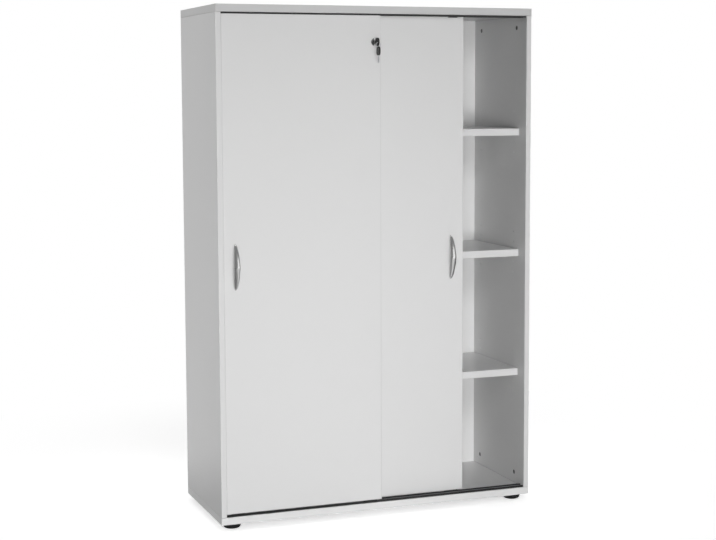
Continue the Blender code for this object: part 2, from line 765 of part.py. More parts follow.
def build_lock(door_panel, slide):
    """The barrel with its rosette, and the nut that clamps it to the left door."""
    front_y = LEFT_DOOR_FRONT_Y
    origin = (LOCK_X, front_y, LOCK_Z)
    bm = bmesh.new()
    step = DOOR_THICKNESS - NUT_THICKNESS
    radii = (BARREL_RADIUS + SEAT_GAP, NUT_RADIUS + SEAT_GAP)
    profile = headed_profile(radii[0], step, radii[1], NUT_THICKNESS + 2 * SEAT_GAP)
    add_lathe(bm, profile, (LOCK_X, front_y - SEAT_GAP, LOCK_Z), "Y", OVAL_SIDES)
    combine(door_panel, add_cutter("lock_bore", bm))
    bore = PLUG_RADIUS + SEAT_GAP
    housing = [
        (bore, DOOR_THICKNESS),
        (BARREL_RADIUS, DOOR_THICKNESS),
        (BARREL_RADIUS, -SEAT_GAP),
        (ROSETTE_RADIUS, -SEAT_GAP),
        (ROSETTE_RADIUS, -ROSETTE_THICKNESS / 2),
        (ROSETTE_RADIUS - ROSETTE_THICKNESS / 2, -ROSETTE_THICKNESS),
        (bore, -ROSETTE_THICKNESS),
    ]
    turned("lock_housing", housing, origin, "Y", chrome, OVAL_SIDES, slide)
    bore = BARREL_RADIUS + SEAT_GAP
    nut = [
        (bore, DOOR_THICKNESS),
        (NUT_RADIUS, DOOR_THICKNESS),
        (NUT_RADIUS, DOOR_THICKNESS - NUT_THICKNESS + SEAT_GAP),
        (bore, DOOR_THICKNESS - NUT_THICKNESS + SEAT_GAP),
    ]
    turned("lock_nut", nut, origin, "Y", bright_steel, OVAL_SIDES, slide)
    build_plug()


def build_plug():
    """The plug that the key turns, and the flat cam on its tang behind the door."""
    face_y = LEFT_DOOR_FRONT_Y - ROSETTE_THICKNESS
    rear_y = LEFT_DOOR_FRONT_Y + DOOR_THICKNESS
    origin = (LOCK_X, face_y, LOCK_Z)
    pivot = add_empty("key_turn_axis", origin)
    bm = rod(origin, "Y", PLUG_RADIUS, rear_y - face_y, OVAL_SIDES)
    plug = add_part("lock_plug", bm, chrome, origin, pivot, smooth=True)
    half = TANG_SIDE / 2
    low = (LOCK_X - half, rear_y - half, LOCK_Z - half)
    high = (LOCK_X + half, rear_y + TANG_BEHIND_DOOR, LOCK_Z + half)
    combine(plug, add_cutter("plug_tang", box(low, high)), "UNION")
    half_x = BLADE_THICKNESS / 2 + KEYWAY_CLEARANCE
    half_z = BLADE_WIDTH / 2 + KEYWAY_CLEARANCE
    low = (LOCK_X - half_x, face_y - SEAT_GAP, LOCK_Z - half_z)
    high = (LOCK_X + half_x, face_y + BLADE_IN_LOCK + KEYWAY_CLEARANCE, LOCK_Z + half_z)
    combine(plug, add_cutter("keyway", box(low, high)))
    middle_y = rear_y + CAM_ARM_BEHIND_DOOR + CAM_ARM_THICKNESS / 2
    bm = extrusion("lock_cam", cam_outline(), CAM_ARM_THICKNESS, "Y", middle_y)
    cam = add_part("lock_cam", bm, bright_steel, (LOCK_X, middle_y, LOCK_Z), pivot)
    half = TANG_SIDE / 2 + SEAT_GAP
    low = (LOCK_X - half, middle_y - CAM_ARM_THICKNESS, LOCK_Z - half)
    high = (LOCK_X + half, middle_y + CAM_ARM_THICKNESS, LOCK_Z + half)
    combine(cam, add_cutter("cam_hole", box(low, high)))


def cam_outline():
    """An arm that points to the left and is round about the lock's axis."""
    half = CAM_ARM_HALF_WIDTH
    points = []
    for n in range(ROD_SIDES // 2 + 1):
        angle = math.pi * (n / (ROD_SIDES // 2) - 0.5)
        points.append((LOCK_X + half * math.cos(angle), LOCK_Z + half * math.sin(angle)))
    tip_x = LOCK_X - CAM_ARM_LENGTH
    corner = half / 2
    points.append((tip_x + corner, LOCK_Z + half))
    points.append((tip_x, LOCK_Z + half - corner))
    points.append((tip_x, LOCK_Z - half + corner))
    points.append((tip_x + corner, LOCK_Z - half))
    return points


def build_keeper(door_panel, slide):
    """A plate let into the right door, with a lug in the gap and a peg in the door."""
    left_x = RIGHT_DOOR_X + KEEPER_EDGE
    face_y = RIGHT_DOOR_FRONT_Y
    middle_z = LOCK_Z + LUG_ABOVE_LOCK + LUG_HEIGHT / 2
    low = (left_x, face_y, middle_z - KEEPER_HEIGHT / 2)
    high = (left_x + KEEPER_WIDTH, face_y + KEEPER_THICKNESS, middle_z + KEEPER_HEIGHT / 2)
    origin = (left_x, face_y, middle_z)
    keeper = add_part("lock_keeper", box(low, high), bright_steel, origin, slide)
    plate_middle_y = face_y + KEEPER_THICKNESS / 2
    lug_x = left_x + LUG_INSET
    lug_y = LEFT_DOOR_FRONT_Y + DOOR_THICKNESS + LUG_BEHIND_DOOR
    lug_low = (lug_x, lug_y, middle_z - LUG_HEIGHT / 2)
    lug_high = (lug_x + LUG_WIDTH, plate_middle_y, middle_z + LUG_HEIGHT / 2)
    combine(keeper, add_cutter("keeper_lug", box(lug_low, lug_high)), "UNION")
    peg_x = left_x + KEEPER_WIDTH / 2
    start = (peg_x, plate_middle_y, middle_z)
    length = face_y + KEEPER_PEG_LENGTH - plate_middle_y
    peg = rod(start, "Y", KEEPER_PEG_RADIUS, length, HOLE_SIDES)
    combine(keeper, add_cutter("keeper_peg", peg), "UNION")
    recess = box([value - SEAT_GAP for value in low], [value + SEAT_GAP for value in high])
    combine(door_panel, add_cutter("keeper_recess", recess))
    length += SEAT_GAP
    hole = rod(start, "Y", KEEPER_PEG_RADIUS + SEAT_GAP, length, HOLE_SIDES)
    combine(door_panel, add_cutter("keeper_peg_hole", hole))


# Keys


def build_key(prefix, matrix, pivot):
    """A key whose ring hole is at matrix and whose blade points along the matrix's -Z."""
    centre = RING_HOLE_FROM_END - KEY_HEAD_LENGTH / 2
    shoulder = RING_HOLE_FROM_END - KEY_HEAD_LENGTH
    bm = bmesh.new()
    oval = (
        Matrix.Translation((0, 0, centre))
        @ Matrix.Diagonal((1, KEY_HEAD_WIDTH / 2, KEY_HEAD_LENGTH / 2, 1))
        @ TURN_FROM_Z["X"]
    )
    bmesh.ops.create_cone(
        bm,
        cap_ends=True,
        segments=OVAL_SIDES,
        radius1=1,
        radius2=1,
        depth=KEY_HEAD_THICKNESS,
        matrix=oval,
    )
    rims = [edge for edge in bm.edges if abs(edge.verts[0].co.x - edge.verts[1].co.x) < SEAT_GAP]
    bmesh.ops.bevel(
        bm, geom=rims, offset=KEY_HEAD_ROUNDING, segments=2, profile=0.5, affect="EDGES"
    )
    head = add_part(prefix + "_head", bm, black_plastic, smooth=True)
    start = (-KEY_HEAD_THICKNESS, 0, 0)
    hole = rod(start, "X", RING_HOLE_RADIUS, 2 * KEY_HEAD_THICKNESS)
    hole_cutter = add_cutter(prefix + "_ring_hole", hole)
    combine(head, hole_cutter)
    half_x = BLADE_THICKNESS / 2 + SEAT_GAP
    half_y = BLADE_WIDTH / 2 + SEAT_GAP
    root = shoulder + BLADE_IN_HEAD
    slot = box((-half_x, -half_y, shoulder - BLADE_IN_HEAD), (half_x, half_y, root + SEAT_GAP))
    slot_cutter = add_cutter(prefix + "_blade_slot", slot)
    combine(head, slot_cutter)
    low = (-BLADE_THICKNESS / 2, -BLADE_WIDTH / 2, shoulder - BLADE_LENGTH)
    high = (BLADE_THICKNESS / 2, BLADE_WIDTH / 2, root)
    blade = add_part(prefix + "_blade", box(low, high), bright_steel)
    for tool in (hole_cutter, slot_cutter):
        tool.matrix_world = matrix
    for obj in (head, blade):
        obj.parent = pivot
        obj.matrix_basis = Matrix.Translation(-pivot.location) @ matrix


def build_keys():
    """A key in the lock, and a ring through its head with a spare key hanging from it."""
    hole = Vector((LOCK_X, FRONT_Y - KEY_REACH + RING_HOLE_FROM_END, LOCK_Z))
    drop = RING_HOLE_RADIUS - RING_WIRE_RADIUS - SEAT_GAP
    key_axis = add_empty("key_pull_axis", hole)
    lie_down = Matrix.Rotation(math.pi / 2, 4, "X")
    build_key("key", Matrix.Translation(hole) @ lie_down, key_axis)
    ring_centre = hole - Vector((0, 0, drop + RING_RADIUS))
    bpy.ops.mesh.primitive_torus_add(
        major_radius=RING_RADIUS,
        minor_radius=RING_WIRE_RADIUS,
        major_segments=OVAL_SIDES,
        minor_segments=8,
        rotation=(math.pi / 2, 0, 0),
    )
    ring = bpy.context.object
    ring.name = "key_ring"
    ring.data.materials.append(bright_steel)
    shade_round(ring.data)
    for collection in list(ring.users_collection):
        collection.objects.unlink(ring)
    parts.objects.link(ring)
    hang_from(ring, ring_centre, add_empty("ring_swing_axis", hole))
    spare_axis = add_empty("spare_key_swing_axis", ring_centre)
    spare_hole = ring_centre - Vector((0, 0, RING_RADIUS + drop))
    build_key("spare_key", Matrix.Translation(spare_hole), spare_axis)


# Feet


def foot_places():
    x = OUTER_X - FOOT_INSET_X
    ys = (FRONT_Y + FOOT_INSET_Y, BACK_Y - FOOT_INSET_Y)
    return [(side * x, y) for y in ys for side in (-1, 1)]


def foot_profile():
    """A spigot for the bottom panel, a rim, and a dome that ends in a flat."""
    top = FOOT_HEIGHT - SEAT_GAP
    spigot_top = top + SPIGOT_LENGTH
    dome = top - FOOT_RIM
    points = [(0, spigot_top), (SPIGOT_RADIUS, spigot_top), (SPIGOT_RADIUS, top)]
    points.append((FOOT_RADIUS, top))
    for n in range(FOOT_ARC_STEPS + 1):
        angle = math.pi / 2 * n / FOOT_ARC_STEPS
        radius = FOOT_FLAT_RADIUS + (FOOT_RADIUS - FOOT_FLAT_RADIUS) * math.cos(angle)
        points.append((radius, dome - dome * math.sin(angle)))
    points.append((0, 0))
    return points


def build_feet():
    names = ("front_left_foot", "front_right_foot", "rear_left_foot", "rear_right_foot")
    for name, (x, y) in zip(names, foot_places()):
        turned(
            name, foot_profile(), (x, y, 0), "Z", black_plastic, FOOT_STEPS, closed=False
        )


clear_scene()
parts = new_collection("filing_cupboard")
cutters = new_collection("cutters")

board_grey = new_material("board_grey", (0.66, 0.66, 0.655), 0.55)
black_plastic = new_material("black_plastic", (0.02, 0.02, 0.021), 0.45)
nylon = new_material("nylon", (0.55, 0.55, 0.53), 0.5)
satin_nickel = new_material("satin_nickel", (0.62, 0.61, 0.59), 0.32, 1.0)
chrome = new_material("chrome", (0.75, 0.75, 0.76), 0.12, 1.0)
bright_steel = new_material("bright_steel", (0.58, 0.58, 0.60), 0.3, 1.0)

build_sides()
build_plates()
build_back()
build_shelves()
build_tracks()
build_feet()

left_origin = (LEFT_DOOR_X, LEFT_DOOR_FRONT_Y, DOOR_BOTTOM_Z)
left_slide = add_empty("left_door_slide_axis", left_origin)
left_handle_x = LEFT_DOOR_X + LEFT_HANDLE_INSET
left_panel = build_door("left_door", LEFT_DOOR_X, LEFT_DOOR_FRONT_Y, left_handle_x, left_slide)

right_origin = (RIGHT_DOOR_X, RIGHT_DOOR_FRONT_Y, DOOR_BOTTOM_Z)
right_slide = add_empty("right_door_slide_axis", right_origin)
right_handle_x = RIGHT_DOOR_X + DOOR_WIDTH - RIGHT_HANDLE_INSET
right_panel = build_door(
    "right_door", RIGHT_DOOR_X, RIGHT_DOOR_FRONT_Y, right_handle_x, right_slide
)

build_lock(left_panel, left_slide)
build_keeper(right_panel, right_slide)
build_keys()
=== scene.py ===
"""The looks of a light-grey filing cupboard with sliding doors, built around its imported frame."""

import json
import math

import bmesh
import bpy
from bpy.types import NodeSocket, Operator, Panel, PropertyGroup
from mathutils import Matrix, Vector


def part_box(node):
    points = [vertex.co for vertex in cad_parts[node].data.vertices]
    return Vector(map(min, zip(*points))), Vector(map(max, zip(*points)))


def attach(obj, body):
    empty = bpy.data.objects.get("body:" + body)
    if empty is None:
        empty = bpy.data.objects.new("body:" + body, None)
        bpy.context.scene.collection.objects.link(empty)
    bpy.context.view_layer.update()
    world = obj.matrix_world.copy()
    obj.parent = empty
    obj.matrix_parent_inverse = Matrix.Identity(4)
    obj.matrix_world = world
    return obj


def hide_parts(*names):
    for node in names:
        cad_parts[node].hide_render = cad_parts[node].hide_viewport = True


bl_info = {
    "name": "Filing Cupboard",
    "version": (1, 0, 0),
    "blender": (4, 5, 0),
    "location": "3D View > Sidebar > Cupboard",
    "description": "Handles, lock, keys, feet and finishes of a cupboard with sliding doors",
    "category": "Object",
}

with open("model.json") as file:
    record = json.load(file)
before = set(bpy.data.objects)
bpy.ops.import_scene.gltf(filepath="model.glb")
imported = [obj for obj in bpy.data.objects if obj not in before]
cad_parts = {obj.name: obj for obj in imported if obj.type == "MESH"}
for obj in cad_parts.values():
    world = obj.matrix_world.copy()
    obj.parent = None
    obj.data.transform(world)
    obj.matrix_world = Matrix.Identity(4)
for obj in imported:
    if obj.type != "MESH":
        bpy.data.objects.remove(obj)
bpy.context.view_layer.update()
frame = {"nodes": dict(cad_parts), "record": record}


def node_box(name):
    low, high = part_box(name)
    return Vector(low), Vector(high)


def middle(low, high):
    return (low + high) / 2


# Places that the frame's own pieces give

LEFT_DOOR_LOW, LEFT_DOOR_HIGH = node_box("left_door_panel")
RIGHT_DOOR_LOW, RIGHT_DOOR_HIGH = node_box("right_door_panel")
LEFT_HANDLE_MIDDLE = middle(*node_box("left_handle"))
RIGHT_HANDLE_MIDDLE = middle(*node_box("right_handle"))
LOCK_MIDDLE = middle(*node_box("lock_housing"))
RING_LOW, RING_HIGH = node_box("key_ring")
SPARE_TOP_Z = node_box("spare_key_head")[1].z
BOTTOM_LOW, BOTTOM_HIGH = node_box("bottom_panel")
GUIDE_LOW, GUIDE_HIGH = node_box("right_door_right_guide")

DOOR_FRONT_Y = LEFT_DOOR_LOW.y
DOOR_REAR_Y = LEFT_DOOR_HIGH.y
LOCK_X = LOCK_MIDDLE.x
LOCK_Z = LOCK_MIDDLE.z
SIDE_INNER_X = -node_box("left_side_panel")[1].x
FLOOR_Z = BOTTOM_HIGH.z
CEILING_Z = node_box("top_panel")[0].z
FRONT_Y = BOTTOM_LOW.y

# The space that is left between pieces
GAP = 0.0003

DIRECTIONS = {axis: Vector(row) for axis, row in zip("XYZ", Matrix.Identity(3))}
AXIS_TURNS = {"X": (0.0, math.pi / 2, 0.0), "Y": (math.pi / 2, 0.0, 0.0), "Z": (0.0, 0.0, 0.0)}


# Selecting, adding and settling pieces


def deselect_all():
    bpy.ops.object.select_all(action="DESELECT")


def select_only(obj):
    deselect_all()
    obj.select_set(True)
    bpy.context.view_layer.objects.active = obj


def apply_place():
    """Moves the place, turn and scale of the selected piece into its mesh."""
    bpy.ops.object.transform_apply(location=True, rotation=True, scale=True)


def named(name):
    """The primitive that was just added, with its place moved into its mesh."""
    obj = bpy.context.object
    obj.name = name
    obj.data.name = name
    apply_place()
    return obj


def add_block(name, low, high):
    deselect_all()
    low = Vector(low)
    high = Vector(high)
    bpy.ops.mesh.primitive_cube_add(size=1.0, location=middle(low, high), scale=high - low)
    return named(name)


def add_disc(name, centre, axis, radius, depth, sides):
    deselect_all()
    bpy.ops.mesh.primitive_cylinder_add(
        vertices=sides, radius=radius, depth=depth, location=centre, rotation=AXIS_TURNS[axis]
    )
    return named(name)


def add_ring(centre, radius, turn, scale=(1.0, 1.0, 1.0), sides=32):
    bpy.ops.mesh.primitive_circle_add(
        vertices=sides, radius=radius, fill_type="NOTHING", location=centre, rotation=turn
    )
    bpy.context.object.scale = scale


def pick_all():
    bpy.ops.mesh.select_all(action="SELECT")


def pick_none(kind):
    """Deselects all in edit mode, and goes on to pick faces or edges."""
    bpy.ops.mesh.select_mode(type=kind)
    bpy.ops.mesh.select_all(action="DESELECT")


def start_edit(obj):
    """Opens a piece in edit mode with nothing selected."""
    select_only(obj)
    bpy.ops.object.mode_set(mode="EDIT")
    pick_none("FACE")


def leave_edit():
    bpy.ops.object.mode_set(mode="OBJECT")


def pick_faces(obj, test):
    """Selects the faces whose middle and normal pass a test, and nothing else."""
    pick_none("FACE")
    mesh = bmesh.from_edit_mesh(obj.data)
    for face in mesh.faces:
        face.select_set(test(face.calc_center_median(), face.normal))
    bmesh.update_edit_mesh(obj.data)


def pick_edges(obj, test):
    """Selects the edges whose two ends pass a test, and nothing else."""
    pick_none("EDGE")
    mesh = bmesh.from_edit_mesh(obj.data)
    for edge in mesh.edges:
        edge.select_set(test(edge.verts[0].co, edge.verts[1].co))
    bmesh.update_edit_mesh(obj.data)


def draw_out(x, y, z):
    """Extrudes what is selected by a step."""
    bpy.ops.mesh.extrude_region_move(TRANSFORM_OT_translate={"value": (x, y, z)})


def bevel_edges(width, segments):
    bpy.ops.mesh.bevel(
        offset=width, offset_type="OFFSET", segments=segments, profile=0.5, affect="EDGES"
    )


def fill_open_ends():
    """Closes each open end of the piece in edit mode with a face."""
    pick_none("EDGE")
    bpy.ops.mesh.select_non_manifold()
    bpy.ops.mesh.fill_holes(sides=0)
    pick_all()
    bpy.ops.mesh.normals_make_consistent(inside=False)


def turned_piece(name, centre, axis, profile, sides=48, closed=False):
    """A round piece from (radius, along) points; closed joins the last point to the first."""
    centre = Vector(centre)
    direction = DIRECTIONS[axis]
    radius, along = profile[0]
    deselect_all()
    add_ring(centre + direction * along, radius, AXIS_TURNS[axis], sides=sides)
    obj = named(name)
    bpy.ops.object.mode_set(mode="EDIT")
    bpy.ops.mesh.select_mode(type="EDGE")
    pick_all()
    for next_radius, next_along in list(profile[1:]) + ([profile[0]] if closed else []):
        draw_out(*(direction * (next_along - along)))
        scale = next_radius / radius
        bpy.ops.transform.resize(
            value=(scale, scale, scale), center_override=centre + direction * next_along
        )
        radius = next_radius
        along = next_along
    if closed:
        pick_all()
        bpy.ops.mesh.remove_doubles(threshold=0.000001)
        bpy.ops.mesh.normals_make_consistent(inside=False)
    else:
        fill_open_ends()
    leave_edit()
    return obj


def apply_modifier(obj, kind, **settings):
    select_only(obj)
    modifier = obj.modifiers.new(kind.lower(), kind)
    for key, value in settings.items():
        setattr(modifier, key, value)
    bpy.ops.object.modifier_apply(modifier=modifier.name)


def combine(obj, tool, operation="DIFFERENCE"):
    """Cuts a tool out of a piece, or joins it to the piece, and removes the tool."""
    apply_modifier(obj, "BOOLEAN", operation=operation, solver="EXACT", object=tool)
    bpy.data.objects.remove(tool, do_unlink=True)


def round_off(obj, width, angle):
    """Rounds the edges of a piece that are sharper than an angle."""
    angle = math.radians(angle)
    apply_modifier(obj, "BEVEL", width=width, segments=3, limit_method="ANGLE", angle_limit=angle)


def smooth(obj, angle):
    select_only(obj)
    bpy.ops.object.shade_smooth_by_angle(angle=math.radians(angle))


def copy_piece(obj, name, move=(0.0, 0.0, 0.0), turn=(0.0, 0.0, 0.0)):
    """A copy with its own mesh, turned about the origin and moved, in its mesh."""
    select_only(obj)
    bpy.ops.object.duplicate(linked=False)
    twin = bpy.context.object
    twin.name = name
    twin.data.name = name
    twin.rotation_euler = turn
    twin.location = move
    apply_place()
    return twin


def give_material(obj, material):
    obj.data.materials.clear()
    obj.data.materials.append(material)


def settle(obj, body, slot, replaced=(), material=None):
    """Gives a finished piece its body, and the finish of its slot or a material of its own."""
    give_material(obj, material or finish(slot))
    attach(obj, body)
    if replaced:
        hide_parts(*replaced)


# Shader nodes


def feed(value, socket):
    """Links a socket to another one, or gives it a plain value."""
    if isinstance(value, NodeSocket):
        socket.id_data.links.new(value, socket)
    else:
        socket.default_value = value


def fill(node, *values, **named_values):
    """Feeds a node's inputs in their order, or by their names with an underscore for a blank."""
    for place, value in enumerate(values):
        feed(value, node.inputs[place])
    for label, value in named_values.items():
        feed(value, node.inputs[label.replace("_", " ")])
    return node


def node_beside(socket, kind, *values, **named_values):
    """A new node in the tree that a socket is in, with its inputs filled."""
    return fill(socket.id_data.nodes.new(kind), *values, **named_values)


def object_place(tree):
    return tree.nodes.new("ShaderNodeTexCoord").outputs["Object"]


def separate(vector):
    """The X, Y and Z of a vector."""
    return node_beside(vector, "ShaderNodeSeparateXYZ", vector).outputs


def noise(vector, scale, detail):
    node = node_beside(vector, "ShaderNodeTexNoise", Vector=vector, Scale=scale, Detail=detail)
    return node.outputs["Fac"]


def math_node(operation, first, second=0.0):
    """What a Math node makes of two values, of which at least one is a socket."""
    known = first if isinstance(first, NodeSocket) else second
    node = node_beside(known, "ShaderNodeMath", first, second)
    node.operation = operation
    return node.outputs[0]


def times(first, second):
    return math_node("MULTIPLY", first, second)


def near(value, target, reach):
    """One where a value lies within a reach of its target, and otherwise zero."""
    off_target = math_node("ABSOLUTE", math_node("SUBTRACT", value, target))
    return math_node("LESS_THAN", off_target, reach)


def remap(value, from_low, from_high, to_low=0.0, to_high=1.0):
    node = node_beside(value, "ShaderNodeMapRange", value, from_low, from_high, to_low, to_high)
    return node.outputs["Result"]


def vector_node(operation, first, second):
    node = node_beside(first, "ShaderNodeVectorMath", first, second)
    node.operation = operation
    return node.outputs["Vector"]


def shade_colour(colour, value):
    """A colour multiplied by a value that varies about one."""
    node = node_beside(colour, "ShaderNodeVectorMath", colour)
    node.operation = "SCALE"
    feed(value, node.inputs["Scale"])
    return node.outputs["Vector"]


# The places of a Mix node's two inputs and its output for each kind of data
MIX_SOCKETS = {"FLOAT": (2, 3, 0), "RGBA": (6, 7, 2)}


def mix(factor, first, second, kind="FLOAT"):
    """From the first value or colour to the second as the factor rises."""
    node = node_beside(factor, "ShaderNodeMix", factor)
    node.data_type = kind
    low, high, result = MIX_SOCKETS[kind]
    feed(first, node.inputs[low])
    feed(second, node.inputs[high])
    return node.outputs[result]


def mix_shaders(factor, *shaders):
    """From the first shader to the second, or to none, as the factor rises."""
    return node_beside(factor, "ShaderNodeMixShader", factor, *shaders).outputs[0]


def socket_kind(default):
    """The type of socket for a number, a vector of three or a colour of four."""
    if isinstance(default, tuple):
        return "NodeSocketVector" if len(default) == 3 else "NodeSocketColor"
    return "NodeSocketFloat"


def new_group(name, inputs, outputs):
    """A node group, the sockets that come into it, and its output node."""
    group = bpy.data.node_groups.new(name, "ShaderNodeTree")
    for label, default in inputs.items():
        socket = group.interface.new_socket(
            name=label, in_out="INPUT", socket_type=socket_kind(default)
        )
        socket.default_value = default
    for label, default in outputs.items():
        group.interface.new_socket(name=label, in_out="OUTPUT", socket_type=socket_kind(default))
    given = group.nodes.new("NodeGroupInput").outputs
    return group, given, group.nodes.new("NodeGroupOutput")


CLOUD_SCALE = 3.0


def make_surface_group():
    """Fine grain and faint clouding that every finish shares, in its own amounts."""
    group, given, output = new_group(
        "fine_surface",
        {
            "Colour": (0.5, 0.5, 0.5, 1.0),
            "Clouding": 0.02,
            "Grain": 0.02,
            "Grain Scale": 900.0,
            "Roughness": 0.5,
            "Roughness Spread": 0.05,
        },
        {"Colour": (0.5, 0.5, 0.5, 1.0), "Roughness": 0.5, "Height": 0.0},
    )
    place = object_place(group)
    clouds = noise(place, CLOUD_SCALE, 3.0)
    grain = noise(place, given["Grain Scale"], 1.0)
    off_middle = math_node("SUBTRACT", clouds, 0.5)
    cloud_amount = times(off_middle, given["Clouding"])
    grain_amount = times(math_node("SUBTRACT", grain, 0.5), given["Grain"])
    level = math_node("ADD", math_node("ADD", cloud_amount, grain_amount), 1.0)
    spread = times(off_middle, given["Roughness Spread"])
    colour = shade_colour(given["Colour"], level)
    fill(output, colour, math_node("ADD", given["Roughness"], spread), grain)
    return group


# How deep under a board's face its band still shows in full, and where it has ended
BAND_FULL = 0.0002
BAND_ENDED = 0.0007


def make_edge_band_group():
    """Masks of a board: the fine seam beside each edge band, the band itself, and the joints; light
    and shade are painted on the band and the joints.
    """
    group, given, output = new_group(
        "edge_band",
        {
            "Low": (0.0, 0.0, 0.0),
            "High": (1.0, 1.0, 1.0),
            "Banded": (1.0, 0.0, 1.0),
            "Band Thickness": 0.0012,
            "Seam Width": 0.00025,
            "Lower Joint": -1.0,
            "Upper Joint": -1.0,
            "Joint Width": 0.0012,
        },
        {"Seam": 0.0, "Band": 0.0, "Joint": 0.0},
    )
    place = object_place(group)
    from_low = vector_node("SUBTRACT", place, given["Low"])
    from_high = vector_node("SUBTRACT", given["High"], place)
    depth = separate(vector_node("MINIMUM", from_low, from_high))
    banded = separate(given["Banded"])
    height = separate(place)["Z"]
    seam = 0.0
    band = 0.0
    joint = 0.0
    for axis in "XYZ":
        on_seam = near(depth[axis], given["Band Thickness"], given["Seam Width"])
        seam = math_node("MAXIMUM", seam, times(on_seam, banded[axis]))
        outside = remap(depth[axis], BAND_FULL, BAND_ENDED, 1.0, 0.0)
        band = math_node("MAXIMUM", band, times(outside, banded[axis]))
    for label in ("Lower Joint", "Upper Joint"):
        joint = math_node("MAXIMUM", joint, near(height, given[label], given["Joint Width"]))
    fill(output, seam, band, joint)
    return group


# Streaks run along X, so that they are stretched there
STREAK_SCALE = (12.0, 900.0, 900.0)


def make_lane_highlight_group():
    """A mask of the pale highlight painted into a track's lane: from a height to full, near a middle
    line, in streaks.
    """
    group, given, output = new_group(
        "rubbed",
        {
            "From Height": 0.0,
            "Full Height": 1.0,
            "Middle Line": 0.0,
            "Half Width": 1.0,
            "Streaks": 0.3,
        },
        {"Mask": 0.0},
    )
    place = object_place(group)
    split = separate(place)
    risen = remap(split["Z"], given["From Height"], given["Full Height"])
    stretch = node_beside(place, "ShaderNodeMapping", place, Scale=STREAK_SCALE)
    streak = noise(stretch.outputs["Vector"], 1.0, 2.0)
    level = math_node("SUBTRACT", 1.0, times(streak, given["Streaks"]))
    on_line = near(split["Y"], given["Middle Line"], given["Half Width"])
    fill(output, times(risen, times(level, on_line)))
    return group


SHARED_GROUPS = {
    "fine_surface": make_surface_group,
    "edge_band": make_edge_band_group,
    "rubbed": make_lane_highlight_group,
}


def place_group(tree, name, **values):
    """A shared effect in a material, with that material's own values."""
    node = tree.nodes.new("ShaderNodeGroup")
    node.node_tree = bpy.data.node_groups.get(name) or SHARED_GROUPS[name]()
    return fill(node, **values)


# Settings that a user would change


def colour_setting(name, description, *default):
    return bpy.props.FloatVectorProperty(
        name=name, description=description, subtype="COLOR", default=default, min=0.0, max=1.0
    )


def number(name, description, default, **limits):
    return bpy.props.FloatProperty(name=name, description=description, default=default, **limits)


def length(name, description, default):
    return number(name, description, default, unit="LENGTH")


def power(name, description, default):
    return number(name, description, default, min=0.0, unit="POWER")


def angle_setting(name, description, degrees):
    return number(name, description, math.radians(degrees), subtype="ANGLE")


class CUPBOARD_PG_finishes(PropertyGroup):
    board: colour_setting("Board", "Colour of the melamine boards", 0.66, 0.66, 0.66)
    black_plastic: colour_setting(
        "Black Plastic", "Colour of the tracks, feet and key heads", 0.012, 0.012, 0.0125
    )
    satin_nickel: colour_setting("Satin Nickel", "Colour of the handles", 0.61, 0.61, 0.61)
    chrome: colour_setting("Chrome", "Colour of the lock", 0.68, 0.68, 0.685)
    bright_steel: colour_setting("Bright Steel", "Colour of keys, pins and screws", 0.58, 0.58, 0.6)
    # The cams' zinc is painted dark: it stands in for the shade in their pockets
    zinc: colour_setting("Zinc", "Colour of the cam fittings", 0.13, 0.13, 0.13)
    nylon: colour_setting("Nylon", "Colour of the wheels", 0.55, 0.55, 0.53)


class CUPBOARD_PG_stage(PropertyGroup):
    camera_place: bpy.props.FloatVectorProperty(
        name="Camera Place",
        description="Where the camera stands",
        subtype="TRANSLATION",
        unit="LENGTH",
        size=3,
        default=(-1.6730, -4.4653, 1.2865),
    )
    camera_yaw: angle_setting("Camera Yaw", "Turn of the view to the right", 20.515)
    camera_pitch: angle_setting("Camera Pitch", "Tilt of the view above the horizon", -5.850)
    camera_roll: angle_setting("Camera Roll", "Turn of the camera about its own view", -0.236)
    lens: number("Lens", "Focal length on a 36 mm sensor, in millimetres", 77.648, min=10.0)
    shift_up: number("Shift", "Vertical shift of the lens, as a share of the width", -0.03)
    floor_level: number("Floor Level", "Grey level of the floor", 0.86, min=0.0, max=1.0)
    floor_lift: number("Floor Lift", "Light that the floor adds of its own", 0.58, min=0.0)
    room_behind: number("Room Behind", "Strength of the room at the rear", 0.8, min=0.0)
    room_above: number("Room Above", "Strength of the room overhead", 0.03, min=0.0)
    room_mirrored: number("Room Mirrored", "Strength of the room that metal shows", 0.3, min=0.0)
    front_power: power("Front Light", "Power of the soft light in front", 31.8)
    high_power: power("High Light", "Power of the soft light high in front", 13.6)
    card_power: power("Mirrored Card", "Power of the card that only metal shows", 26.0)
    rear_power: power("Rear Lights", "Power of each of the two soft lights behind", 18.5)
    overhead_power: power("Overhead Light", "Power of the soft light overhead", 1.7)


# Each finish: its material's name, its roughness, 1 for metal, the strength of its clouds and its
# grain, the grain's scale, and the strength and depth of the grain's relief. All but zinc have the
# names of the slots that they finish.
FINISH_LOOKS = {
    "board": ("grey_melamine", 0.34, 0.0, 0.012, 0.03, 1400.0, 0.12, 0.00005),
    "black_plastic": ("black_plastic", 0.42, 0.0, 0.2, 0.1, 2500.0, 0.1, 0.00005),
    "satin_nickel": ("satin_nickel", 0.23, 1.0, 0.03, 0.03, 3000.0, 0.05, 0.00002),
    "chrome": ("bright_chrome", 0.26, 1.0, 0.02, 0.0, 3000.0, 0.02, 0.00002),
    "bright_steel": ("bright_steel", 0.28, 1.0, 0.06, 0.04, 3000.0, 0.08, 0.00002),
    "zinc": ("dull_zinc", 0.4, 1.0, 0.1, 0.1, 3000.0, 0.1, 0.00003),
    "nylon": ("white_nylon", 0.45, 0.0, 0.05, 0.02, 2000.0, 0.05, 0.0001),
}
ROUGHNESS_SPREAD = 0.05
RAIL_ROUGHNESS = 0.38
SEAM_TONE = 0.72
